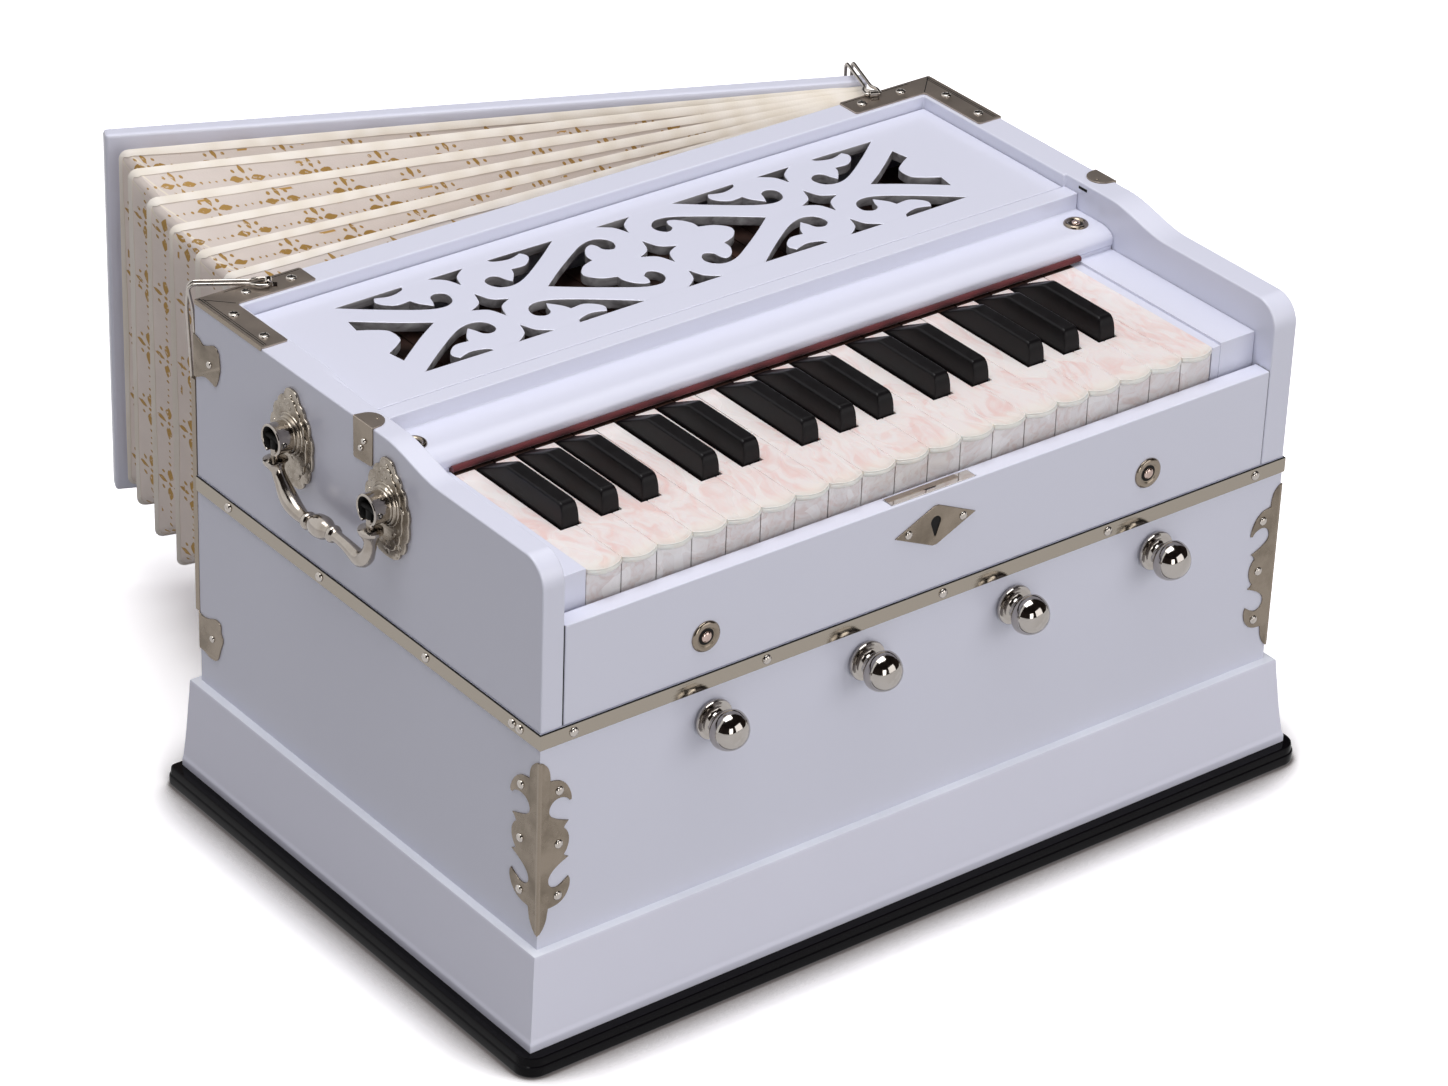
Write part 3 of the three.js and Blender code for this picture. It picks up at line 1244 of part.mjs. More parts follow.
function foldRing(station, inset) {
  const { left, right } = foldEdges(station.share);
  const points = [];
  const span = right.distanceTo(left);
  const pitch = fanAngle / ridgeShares.length;
  const depthAt = (reach) => {
    const halfPitch = Math.min(reach * pitch / 2, FOLD_WIDTH_OF_SIDE);
    const full = Math.sqrt(FOLD_WIDTH_OF_SIDE ** 2 - halfPitch ** 2);
    return station.valley ? Math.min(full, foldSteepness * halfPitch) : 0;
  };
  const place = (run, z) => {
    const at = right.clone().lerp(left, run);
    return v3(at.x, at.y, z);
  };
  const leftRun = 1 - (depthAt(FOLD_R) + inset) / span;
  const runs = foldRunShares.map((share) => share * leftRun + (1 - share) * inset / span);
  const top = FOLD_TOP;
  const corner = (FOLD_CORNER_R + inset) / span;
  runs.forEach((run) => {
    const down = inset + depthAt(run * span);
    points.push(place(run === leftRun ? run - corner : run, top - down));
  });
  points.push(place(leftRun, top - inset - depthAt(FOLD_R) - FOLD_CORNER_R));
  points.push(place(leftRun, FOLD_BOTTOM + inset + depthAt(FOLD_R) + FOLD_CORNER_R));
  [...runs].reverse().forEach((run) => {
    const up = inset + depthAt(run * span);
    points.push(place(run === leftRun ? run - corner : run, FOLD_BOTTOM + up));
  });
  return points;
}

function makeBellowsFolds() {
  const stations = foldStations();
  const outer = stations.map((station) => foldRing(station, 0));
  const inner = stations.map((station) => foldRing(station, FOLD_WALL)).reverse();
  addPiece('bellows_folds', loopOfRings([...outer, ...inner]), finish.paper);
}

makeBaseBoard();
makePlinth();
makeLowerCase();
makeUpperCase();
makeKeySlip();
makeTrimBand();
makeNameRail();
makeFretLid();
makeKeyFrame();
makeReedBoard();
makeReservoir();
makeKeys();
makeStopKnobs();
makeBracket(-1);
makeBracket(1);
makeLatch(-1);
makeLatch(1);
makeHandles();
makeBellowsBoard();
makeHingeBatten();
makeBellowsFolds();

export default harmonium;
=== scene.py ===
"""Indian harmonium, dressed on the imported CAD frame. Sizes are in millimetres, and MM makes them metres."""
import contextlib
import math

import bmesh
import bpy
from mathutils import Matrix, Vector


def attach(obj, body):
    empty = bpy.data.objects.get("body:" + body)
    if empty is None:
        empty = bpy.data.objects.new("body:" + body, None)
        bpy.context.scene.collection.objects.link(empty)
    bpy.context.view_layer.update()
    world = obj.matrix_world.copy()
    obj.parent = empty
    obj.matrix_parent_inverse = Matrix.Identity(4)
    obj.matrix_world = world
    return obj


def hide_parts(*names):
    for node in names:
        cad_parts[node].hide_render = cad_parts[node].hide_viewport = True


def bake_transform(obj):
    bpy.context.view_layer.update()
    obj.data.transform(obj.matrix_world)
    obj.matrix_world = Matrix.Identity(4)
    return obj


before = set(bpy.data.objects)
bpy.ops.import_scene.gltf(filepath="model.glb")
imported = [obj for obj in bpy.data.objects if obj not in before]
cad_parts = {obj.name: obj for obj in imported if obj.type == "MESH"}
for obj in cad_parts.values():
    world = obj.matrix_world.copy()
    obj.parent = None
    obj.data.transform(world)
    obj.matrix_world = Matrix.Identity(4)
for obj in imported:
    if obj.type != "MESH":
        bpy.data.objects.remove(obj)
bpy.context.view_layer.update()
MM = 0.001

# Camera: a long lens from the front left and above, at the photograph's angle.
# Its place and turn were solved from the edges of the case.
camera_right = Vector((0.79275, -0.60862, 0.03342))
camera_down = Vector((-0.28409, -0.41743, -0.86316))
camera_forward = Vector((0.53929, 0.67478, -0.50382))
camera_place = Vector((-1573.188, -1951.239, 1612.686)) * MM
camera_data = bpy.data.cameras.new("photo_camera")
camera_data.sensor_width = 36
camera_data.lens = 127.08
camera = bpy.data.objects.new("photo_camera", camera_data)
camera.matrix_world = Matrix((
    (camera_right.x, -camera_down.x, -camera_forward.x, camera_place.x),
    (camera_right.y, -camera_down.y, -camera_forward.y, camera_place.y),
    (camera_right.z, -camera_down.z, -camera_forward.z, camera_place.z),
    (0, 0, 0, 1),
))
bpy.context.scene.collection.objects.link(camera)
bpy.context.scene.camera = camera

# Studio: white room, a pale floor that takes the shadow and has a contact shadow painted into its colour, a
# softbox above and two in front.
# A dark round wall behind the camera, which only reflections see, gives the metal its contrast.
scene = bpy.context.scene
scene.view_settings.view_transform = "Standard"


def feed(piece, given):
    """Sets a node's inputs to plain values, or links them to the outputs or nodes that feed them."""
    for name, value in given.items():
        socket = piece.inputs[name]
        if isinstance(value, bpy.types.Node):
            value = next(output for output in value.outputs if output.enabled)
        if isinstance(value, bpy.types.NodeSocket):
            piece.id_data.links.new(value, socket)
        elif socket.type == "RGBA":
            socket.default_value = (*value[:3], 1)
        else:
            socket.default_value = value


def node(tree, kind, given=None, **settings):
    """A new node in the tree, with its settings made and its inputs fed."""
    made = tree.nodes.new(kind if "Node" in kind else "ShaderNode" + kind)
    for name, value in settings.items():
        setattr(made, name, value)
    feed(made, given or {})
    return made


def calc(tree, operation, *given, **settings):
    """One maths node, fed with sockets or plain numbers."""
    return node(tree, "Math", dict(enumerate(given)), operation=operation, **settings).outputs[0]


def mixed(tree, share, a, b):
    return node(tree, "Mix", {"Factor": share, "A": a, "B": b}, data_type="RGBA")


def ranged(tree, value, low, high, made_low=0.0, made_high=1.0, **settings):
    limits = {"From Min": low, "From Max": high, "To Min": made_low, "To Max": made_high}
    return node(tree, "MapRange", {"Value": value, **limits}, **settings)


SKY_LEVEL = 0.8
world = bpy.data.worlds.new("white_studio")
scene.world = world
world.use_nodes = True
sky = world.node_tree
sky.nodes.clear()
upward = node(sky, "SeparateXYZ", {"Vector": node(sky, "TexCoord").outputs["Generated"]}).outputs["Z"]
sky_strength = calc(sky, "MULTIPLY", calc(sky, "MULTIPLY", upward, upward), SKY_LEVEL)
ambient = node(sky, "Background", {"Color": (1.0, 0.96, 1.0), "Strength": sky_strength})
seen = node(sky, "Background", {"Color": (1, 1, 1), "Strength": 1.0})
ray = node(sky, "LightPath").outputs
camera_or_glossy = calc(sky, "MAXIMUM", ray["Is Camera Ray"], ray["Is Glossy Ray"])
seen_ray = calc(sky, "MAXIMUM", camera_or_glossy, ray["Is Transmission Ray"])
node(sky, "OutputWorld", {"Surface": node(sky, "MixShader", {"Fac": seen_ray, 1: ambient, 2: seen})})


def softbox(name, place, aim, size, power, colour):
    data = bpy.data.lights.new(name, "AREA")
    data.shape = "RECTANGLE"
    data.size, data.size_y = size
    data.energy = power
    data.color = colour
    lamp = bpy.data.objects.new(name, data)
    lamp.location = place
    lamp.rotation_euler = (Vector(aim) - Vector(place)).to_track_quat("-Z", "Y").to_euler()
    scene.collection.objects.link(lamp)
    return lamp


softbox("softbox_above", (-0.3, 0.0, 2.9), (-0.25, 0, 0.2), (1.3, 2.0), 40.5, (0.985, 0.99, 1.0))
softbox("softbox_front_right", (1.0, -2.3, 1.15), (0, 0, 0.15), (1.8, 1.6), 16, (1.0, 0.985, 0.985))
softbox("softbox_front_left", (-0.95, -2.35, 0.95), (-0.1, 0, 0.2), (0.8, 1.2), 10.5, (1.0, 0.985, 0.97))


def studio_plane(name, place, facing, size, material):
    half_w, half_h = size[0] / 2, size[1] / 2
    mesh = bpy.data.meshes.new(name)
    mesh.from_pydata([(-half_w, -half_h, 0), (half_w, -half_h, 0), (half_w, half_h, 0),
                      (-half_w, half_h, 0)], [], [(0, 1, 2, 3)])
    turn = Vector(facing).to_track_quat("Z", "Y").to_matrix().to_4x4()
    mesh.transform(Matrix.Translation(place) @ turn)
    mesh.materials.append(material)
    plane = bpy.data.objects.new(name, mesh)
    scene.collection.objects.link(plane)
    return plane


floor_paint = bpy.data.materials.new("studio_floor")
floor_paint.use_nodes = True
floor_tree = floor_paint.node_tree
floor_tree.nodes.clear()
FLOOR_COLOUR, CONTACT_REACH = (0.42, 0.42, 0.425), 0.06
GLOSSY_FLOOR, CAMERA_FLOOR = 8.7, 0.05
floor_ray = node(floor_tree, "LightPath").outputs
# For camera rays the floor's colour darkens near the object by ambient occlusion: a painted contact shadow.
contact = node(floor_tree, "AmbientOcclusion", {"Distance": CONTACT_REACH}).outputs["AO"]
painted_contact_shade = ranged(floor_tree, contact, 0.54, 1.0, interpolation_type="SMOOTHSTEP")
floor_tone = mixed(floor_tree, painted_contact_shade, (0.14, 0.115, 0.11), (1.8, 1.8, 1.8))
floor_shade = mixed(floor_tree, floor_ray["Is Camera Ray"], FLOOR_COLOUR, floor_tone)
floor_seen = calc(floor_tree, "MULTIPLY_ADD", floor_ray["Is Glossy Ray"], GLOSSY_FLOOR,
                  floor_ray["Is Camera Ray"])
floor_glow = node(floor_tree, "Emission",
                  {"Color": (1, 1, 1), "Strength": calc(floor_tree, "MULTIPLY", floor_seen, CAMERA_FLOOR)})
floor_matt = node(floor_tree, "BsdfDiffuse", {"Color": floor_shade})
node(floor_tree, "OutputMaterial",
     {"Surface": node(floor_tree, "AddShader", {0: floor_matt, 1: floor_glow})})
studio_plane("studio_floor", (0, 0, 0), (0, 0, 1), (14, 14), floor_paint)


def plain_paint(name, given=None):
    """A new material, its tree and its surface, with plain values on the surface."""
    made = bpy.data.materials.new(name)
    made.use_nodes = True
    surface = made.node_tree.nodes["Principled BSDF"]
    feed(surface, given or {})
    return made, made.node_tree, surface


card_paint = plain_paint("dark_card", {"Base Color": (0.03, 0.018, 0.013), "Roughness": 0.9})[0]
card_back = studio_plane("dark_card_back", (1.7, 2.5, 1.9), (-1.7, -2.5, -1.7), (3.6, 2.0), card_paint)
wall_mesh = bpy.data.meshes.new("dark_wall")
wall_points = []
for i in range(33):
    angle = math.radians(-175 + 195 * i / 32)
    wall_points += [(r * math.cos(angle), r * math.sin(angle), z)
                    for r, z in ((3.2, 0.35), (3.2, 3.1), (1.2, 4.2))]
wall_faces = [(3 * i + k, 3 * i + k + 3, 3 * i + k + 4, 3 * i + k + 1) for i in range(32) for k in (0, 1)]
wall_mesh.from_pydata(wall_points, [], wall_faces)
wall_mesh.materials.append(card_paint)
wall = bpy.data.objects.new("dark_wall", wall_mesh)
scene.collection.objects.link(wall)
for card in (card_back, wall):
    card.visible_camera = False
    card.visible_diffuse = False
    card.visible_transmission = False
    card.visible_shadow = False

# Base board: a flat board with a rounded nose, in black gloss lacquer, that stands on the floor.
# A dusty, very slightly wavy film of lacquer is shared by all the painted wood.
SIDE_X = 260.0
FRONT_Y = -163.5
REAR_Y = 163.5
BASE_T = 12.0


def node_group(name, kind, inputs, outputs):
    """An empty node group with named sockets: its tree, what it is given, and its output node."""
    tree = bpy.data.node_groups.new(name, kind)
    for way, sockets in (("INPUT", inputs), ("OUTPUT", outputs)):
        for label, socket_kind, *value in sockets:
            socket = tree.interface.new_socket(name=label, in_out=way,
                                               socket_type="NodeSocket" + socket_kind)
            if value:
                socket.default_value = value[0]
    return tree, node(tree, "NodeGroupInput").outputs, node(tree, "NodeGroupOutput")


def object_place(tree):
    return node(tree, "TexCoord").outputs["Object"]


FILM_MAKES = (("Colour", "Color"), ("Roughness", "Float"), ("Height", "Float"))


def film_group():
    """Dust specks, roughness and wave height of a sprayed and rubbed lacquer film."""
    tree, given, made = node_group("lacquer_film", "ShaderNodeTree",
                                   (("Colour", "Color", (0.5, 0.5, 0.5, 1)),
                                    ("Gloss Roughness", "Float", 0.15)), FILM_MAKES)
    place = object_place(tree)
    cloud = node(tree, "TexNoise", {"Vector": place, "Scale": 9.0, "Detail": 3.0})
    peel = node(tree, "TexNoise", {"Vector": place, "Scale": 55.0, "Detail": 1.0})
    specks = node(tree, "TexVoronoi", {"Vector": place, "Scale": 160.0})
    speck = ranged(tree, specks, 0.0, 0.06, 0.96, 1.0)
    rough = ranged(tree, cloud, 0.3, 0.7, -0.005, 0.005)
    feed(made, {"Colour": node(tree, "VectorMath", {0: given["Colour"], "Scale": speck}, operation="SCALE"),
                "Roughness": calc(tree, "ADD", given["Gloss Roughness"], rough), "Height": peel})
    return tree


lacquer_film = film_group()


def bumped(tree, height, strength, depth, **normal):
    """A bump on the surface. Normal, where given, is a bump that lies under it."""
    return node(tree, "Bump", {"Height": height, "Strength": strength, "Distance": depth, **normal})


def grouped(name, group, given, strength, depth, plain):
    """A material whose colour, roughness and bump come from a node group."""
    made, tree, surface = plain_paint(name, plain)
    film = node(tree, "Group", given, node_tree=group)
    feed(surface, {"Base Color": film.outputs["Colour"], "Roughness": film.outputs["Roughness"],
                   "Normal": bumped(tree, film.outputs["Height"], strength, depth)})
    return made


GLOSS = {"IOR": 1.5, "Coat Weight": 0.15, "Coat Roughness": 0.15}


def lacquer(name, colour, roughness, **plain):
    given = {"Colour": colour, "Gloss Roughness": roughness}
    return grouped(name, lacquer_film, given, 0.015, 0.0004, {**GLOSS, **plain})


black_lacquer = lacquer("black_gloss_lacquer", (0.004, 0.0035, 0.0045), 0.1,
                        **{"IOR": 1.3, "Specular IOR Level": 0.2, "Coat Weight": 0.0})


def add_object(name, mesh, *materials):
    for material in materials:
        mesh.materials.append(material)
    piece = bpy.data.objects.new(name, mesh)
    scene.collection.objects.link(piece)
    return piece


def soften(mesh, degrees=35):
    mesh.shade_smooth()
    mesh.set_sharp_from_angle(angle=math.radians(degrees))


def applied(piece):
    """The piece's modifiers become its mesh."""
    graph = bpy.context.evaluated_depsgraph_get()
    mesh = bpy.data.meshes.new_from_object(piece.evaluated_get(graph))
    piece.modifiers.clear()
    piece.data = mesh
    return mesh


def fit(piece, body, slot, *nodes):
    """The piece moves with a body and stands for CAD nodes, whose parts are hidden. Its slot is not used."""
    even = piece.modifiers.new("even_shading", "WEIGHTED_NORMAL")
    even.keep_sharp = True
    applied(piece)
    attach(piece, body)
    if nodes:
        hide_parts(*nodes)


def skin(bm, rings, ends="capped", material=0):
    """Faces between rings of points in millimetres. ends is capped, joined (last to first) or open."""
    made = [[bm.verts.new(Vector(point) * MM) for point in ring] for ring in rings]
    count = len(rings[0])
    pairs = list(zip(made, made[1:]))
    if ends == "joined":
        pairs.append((made[-1], made[0]))
    faces = []
    for low, high in pairs:
        for i in range(count):
            j = (i + 1) % count
            faces.append(bm.faces.new((low[i], low[j], high[j], high[i])))
    if ends == "capped":
        faces.append(bm.faces.new(list(reversed(made[0]))))
        faces.append(bm.faces.new(made[-1]))
    for face in faces:
        face.material_index = material
    return made


WELD = 0.00001


def finished(name, bm):
    """A mesh from a bmesh, with doubles merged and its faces turned outwards."""
    bmesh.ops.remove_doubles(bm, verts=bm.verts, dist=WELD)
    bmesh.ops.recalc_face_normals(bm, faces=bm.faces)
    mesh = bpy.data.meshes.new(name)
    bm.to_mesh(mesh)
    bm.free()
    return mesh


@contextlib.contextmanager
def opened(mesh, outwards=True):
    """A mesh opened for work on its faces, then closed, with its faces turned outwards if asked."""
    bm = bmesh.new()
    bm.from_mesh(mesh)
    yield bm
    if outwards:
        bmesh.ops.recalc_face_normals(bm, faces=bm.faces)
    bm.to_mesh(mesh)
    bm.free()


def made_up(name, bm, degrees, materials, body, slot, *nodes):
    """A whole piece from its bmesh: closed, shaded smooth up to an angle, painted, and fixed to its body."""
    mesh = finished(name, bm)
    if degrees:
        soften(mesh, degrees)
    fit(add_object(name, mesh, *materials), body, slot, *nodes)


def box_rings(x, y, z):
    return [[(x[0], y[0], h), (x[1], y[0], h), (x[1], y[1], h), (x[0], y[1], h)] for h in z]


def rounded_outline(x0, x1, y0, y1, radius, steps=8):
    points = []
    for corner, (x, y) in enumerate(((x1 - radius, y1 - radius), (x0 + radius, y1 - radius),
                                     (x0 + radius, y0 + radius), (x1 - radius, y0 + radius))):
        for i in range(steps + 1):
            angle = math.pi / 2 * (corner + i / steps)
            points.append((x + radius * math.cos(angle), y + radius * math.sin(angle)))
    return points


base_nose = [(0.0, 0.25), (0.05, 0.1), (0.14, 0.0), (0.5, 0.0), (0.56, 0.05), (0.6, 0.22), (0.68, 0.24),
             (0.88, 0.27), (0.96, 0.34), (1.0, 0.5)]
base_bm = bmesh.new()
base_rings = []
for up, inset in base_nose:
    pull = inset * 4.0
    extent = (-SIDE_X - 19.5 + pull, SIDE_X + 19.5 - pull, FRONT_Y - 19.5 + pull, REAR_Y + 9.75 - pull)
    outline = rounded_outline(*extent, 5.0 - pull)[:18] + rounded_outline(*extent, 12.0 - pull)[18:]
    base_rings.append([(x, y, up * BASE_T) for x, y in outline])
skin(base_bm, base_rings)
made_up("base_board_dressed", base_bm, 35, (black_lacquer,), "case", "base_lacquer", "base_board")

# Plinth: a flared, mitred moulding of lacquered wood that the foot of the case stands in.
# It is a fillet, a long hollow slope and a rounded bead at the top.
PLINTH_H, BEAD_OUT, FLARE = 55.5, 4.3, 7.3
white_lacquer = lacquer("white_gloss_lacquer", (0.755, 0.77, 0.885), 0.26)
plinth_profile = [(0.0, 1.0), (0.07, 1.0), (0.095, 0.97), (0.11, 0.9), (0.14, 0.86), (0.3, 0.68),
                  (0.5, 0.5), (0.7, 0.36), (0.84, 0.24), (0.95, 0.17), (0.98, 0.15), (0.995, 0.1),
                  (1.0, 0.02), (1.0, -0.58)]
plinth_rings = []
for up, out in plinth_profile:
    spread = BEAD_OUT + out * FLARE
    x, rear = SIDE_X + spread, REAR_Y + 4.2 * min(1.0, spread / BEAD_OUT)
    plinth_rings += box_rings((-x, x), (FRONT_Y - spread, rear), (BASE_T + up * PLINTH_H,))
plinth_rings += box_rings((-SIDE_X, SIDE_X), (FRONT_Y, REAR_Y), (BASE_T + PLINTH_H, BASE_T))
plinth_bm = bmesh.new()
skin(plinth_bm, plinth_rings, "joined")
plinth_mesh = finished("plinth_dressed", plinth_bm)
soften(plinth_mesh, 28)
# The plinth is painted in a lacquer lighter than the case's, painted light on its sloping faces, and its
# upward faces lighter still, a painted highlight on the ledge.
for face in plinth_mesh.polygons:
    face.material_index = 1 if face.normal.z > 0.8 else 0
plinth_painted_lighter = lacquer("plinth_lacquer_painted_lighter", (0.8, 0.81, 0.93), 0.26)
ledge_painted_highlight = lacquer("plinth_ledge_painted_highlight", (0.89, 0.925, 1.0), 0.2)
fit(add_object("plinth_dressed", plinth_mesh, plinth_painted_lighter, ledge_painted_highlight), "case", "case_lacquer",
    "plinth")

# Lower case: four lacquered walls with eased corners, bored for the stop rods and for the bellows' air.
# The CAD solid has the right bores, so a copy of it only gets its edges rounded.


def ease_edges(piece, width, segments=3, angle=35):
    bevel = piece.modifiers.new("eased_edges", "BEVEL")
    bevel.width = width * MM
    bevel.segments = segments
    bevel.limit_method = "ANGLE"
    bevel.angle_limit = math.radians(angle)
    bevel.use_clamp_overlap = True
    bevel.harden_normals = False
    mesh = applied(piece)
    soften(mesh, 40)


walls_bm = bmesh.new()
walls_bm.from_mesh(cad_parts["lower_case"].data)
bmesh.ops.remove_doubles(walls_bm, verts=walls_bm.verts, dist=WELD)
bmesh.ops.dissolve_limit(walls_bm, angle_limit=math.radians(1.5), verts=walls_bm.verts, edges=walls_bm.edges)
walls_mesh = bpy.data.meshes.new("lower_case_dressed")
walls_bm.to_mesh(walls_mesh)
walls_bm.free()
walls = add_object("lower_case_dressed", walls_mesh, white_lacquer)
ease_edges(walls, 1.2)
for face in walls.data.polygons:
    if face.area > 0.0004:
        face.use_smooth = False
fit(walls, "case", "case_lacquer", "lower_case")

# Upper case: two cheeks that sweep down to the player and a rear rail, with ledges inside for the lid.
# It is one lacquered carcass with eased edges, and a thin lining narrows it beside the lid.
CHEEK_X = 241.0
LEFT_IN, RIGHT_IN = -246.0, 243.0
SEAM_Z = 201.5
TOP_Z = 311.0
RAIL_Y = 144.5


def drawn_out(name, rings, *materials):
    """A piece skinned over rings of points."""
    bm = bmesh.new()
    skin(bm, rings)
    return add_object(name, finished(name, bm), *materials)


def x_rings(outline, x):
    """A closed outline of (y, z) points, set at each x."""
    return [[(end, y, z) for y, z in outline] for end in x]


def combined(piece, others, operation):
    for other in others:
        step = piece.modifiers.new(operation.lower(), "BOOLEAN")
        step.operation = operation
        step.solver = "EXACT"
        step.object = other
    mesh = applied(piece)
    for other in others:
        bpy.data.objects.remove(other)
    with opened(mesh, False) as bm:
        bmesh.ops.remove_doubles(bm, verts=bm.verts, dist=0.00002)
        bmesh.ops.dissolve_limit(bm, angle_limit=math.radians(1.0), verts=bm.verts, edges=bm.edges)


sweep_rear, sweep_front, cheek_low = FRONT_Y + 143.5, FRONT_Y + 93.5, TOP_Z - 8.5
cheek_outline = [(FRONT_Y, SEAM_Z), (REAR_Y, SEAM_Z), (REAR_Y, TOP_Z), (sweep_rear, TOP_Z)]
for i in range(1, 16):
    along = i / 16
    fall = along * along * (3 - 2 * along)
    cheek_outline.append((sweep_rear + along * (sweep_front - sweep_rear), TOP_Z - fall * 8.5))
cheek_outline.append((sweep_front, cheek_low))
for i in range(13):
    angle = math.pi / 2 * (1 + i / 12)
    cheek_outline.append((FRONT_Y + 16 + 16 * math.cos(angle), cheek_low - 16 + 16 * math.sin(angle)))
WHOLE_HEIGHT = (SEAM_Z, TOP_Z)
left_lining = [(17.0, SEAM_Z), (REAR_Y - 3, SEAM_Z), (REAR_Y - 3, TOP_Z), (60.0, TOP_Z), (17.0, 303.6)]
upper = drawn_out("upper_case_dressed", x_rings(cheek_outline, (-SIDE_X, LEFT_IN)), white_lacquer)
combined(upper, [
    drawn_out("right_cheek", x_rings(cheek_outline, (RIGHT_IN, SIDE_X))),
    drawn_out("left_lining", x_rings(left_lining, (LEFT_IN - 2, -CHEEK_X))),
    drawn_out("right_lining", box_rings((CHEEK_X, RIGHT_IN + 2), (17.0, REAR_Y - 3), WHOLE_HEIGHT)),
    drawn_out("rear_rail", box_rings((LEFT_IN - 1, RIGHT_IN + 1), (RAIL_Y, REAR_Y), WHOLE_HEIGHT)),
], "UNION")
ease_edges(upper, 1.1, 3, 50)
upper.data.materials.append(None)
with opened(upper.data, False) as bm:
    for side in (-1, 1):
        ledge_x = sorted((side * (CHEEK_X - 6), side * (CHEEK_X + 0.4)))
        skin(bm, box_rings(ledge_x, (17.3, RAIL_Y + 0.4), (291.5, 297.5)))
    bmesh.ops.recalc_face_normals(bm, faces=bm.faces)
    # Two thin black boxes on the right cheek's inside are the lid's slot, its shade painted black.
    skin(bm, [[(RIGHT_IN - 0.15, y, z), (RIGHT_IN + 0.5, y, z), (RIGHT_IN + 0.5, y, z + 1.7),
               (RIGHT_IN - 0.15, y, z + 1.7)] for y, z in ((-1.8, 306.6), (5.4, 306.6))], "capped", 1)
fit(upper, "case", "case_lacquer", "upper_case")

# Key slip: the board in front of the keys, fixed between the cheeks, with its lock.
# Its top edge is rounded. The lock plate is let into the top and a diamond keyhole plate covers the front.
slip_top, slip_back = SEAM_Z + 60.5, FRONT_Y + 11.5
slip = drawn_out("key_slip_dressed", box_rings((LEFT_IN + 0.8, RIGHT_IN - 0.6), (FRONT_Y, slip_back),
                                               (SEAM_Z + 0.4, slip_top)), white_lacquer)
lock_bed = box_rings((-29.4, 29.4), (-161.4, -153.4), (slip_top - 3, slip_top + 3))
combined(slip, [drawn_out("lock_bed", lock_bed)], "DIFFERENCE")
ease_edges(slip, 0.7, 3)
fit(slip, "case", "case_lacquer", "key_slip")


def metal_group():
    """Tarnish of nickel plate: clouded colour, roughness, and fine rubbing marks."""
    tree, given, made = node_group("plate_tarnish", "ShaderNodeTree",
                                   (("Clean", "Color", (0.6, 0.55, 0.5, 1)),
                                    ("Dull", "Color", (0.3, 0.26, 0.2, 1)), ("Dullness", "Float", 0.5),
                                    ("Base Roughness", "Float", 0.25), ("Cloud Scale", "Float", 30.0)),
                                   FILM_MAKES)
    place = object_place(tree)
    cloud = node(tree, "TexNoise",
                 {"Vector": place, "Scale": given["Cloud Scale"], "Detail": 5.0, "Roughness": 0.62})
    stretched = node(tree, "Mapping", {"Vector": place, "Scale": (90.0, 90.0, 700.0)})
    rubbed = node(tree, "TexNoise", {"Vector": stretched, "Scale": 1.0, "Detail": 2.0})
    edge = ranged(tree, node(tree, "NewGeometry").outputs["Pointiness"], 0.51, 0.6)
    amount = calc(tree, "MULTIPLY", ranged(tree, cloud, 0.32, 0.68), given["Dullness"])
    kept = calc(tree, "SUBTRACT", amount, edge, use_clamp=True)
    feed(made, {"Colour": mixed(tree, kept, given["Clean"], given["Dull"]),
                "Roughness": calc(tree, "MULTIPLY_ADD", kept, 0.22, given["Base Roughness"]),
                "Height": rubbed})
    return tree


plate_tarnish = metal_group()


def nickel(name, clean, dull, dullness, roughness, cloud_scale, rubbing):
    given = {"Clean": clean, "Dull": dull, "Dullness": dullness, "Base Roughness": roughness,
             "Cloud Scale": cloud_scale}
    return grouped(name, plate_tarnish, given, rubbing, 0.0003, {"Metallic": 1.0})


plate_nickel = nickel("worn_nickel_plate", (0.3, 0.252, 0.2), (0.13, 0.105, 0.076), 0.85, 0.2, 40.0, 0.12)
bright_nickel = nickel("polished_nickel", (0.78, 0.75, 0.72), (0.5, 0.45, 0.39), 0.35, 0.06, 60.0, 0.03)
turned_nickel = nickel("turned_nickel", (0.46, 0.43, 0.4), (0.33, 0.295, 0.255), 0.4, 0.07, 60.0, 0.03)
bail_nickel = nickel("cast_bail_nickel", (0.44, 0.4, 0.36), (0.26, 0.215, 0.17), 0.55, 0.1, 80.0, 0.05)
band_nickel = nickel("mottled_band_nickel", (0.37, 0.33, 0.275), (0.185, 0.155, 0.12), 0.8, 0.1, 60.0, 0.08)
brown_nickel = nickel("browned_nickel_plate", (0.44, 0.375, 0.325), (0.28, 0.23, 0.19), 0.5, 0.38, 45.0,
                      0.12)
wire_nickel = nickel("latch_wire_nickel", (0.5, 0.46, 0.42), (0.27, 0.23, 0.19), 0.6, 0.12, 200.0, 0.05)


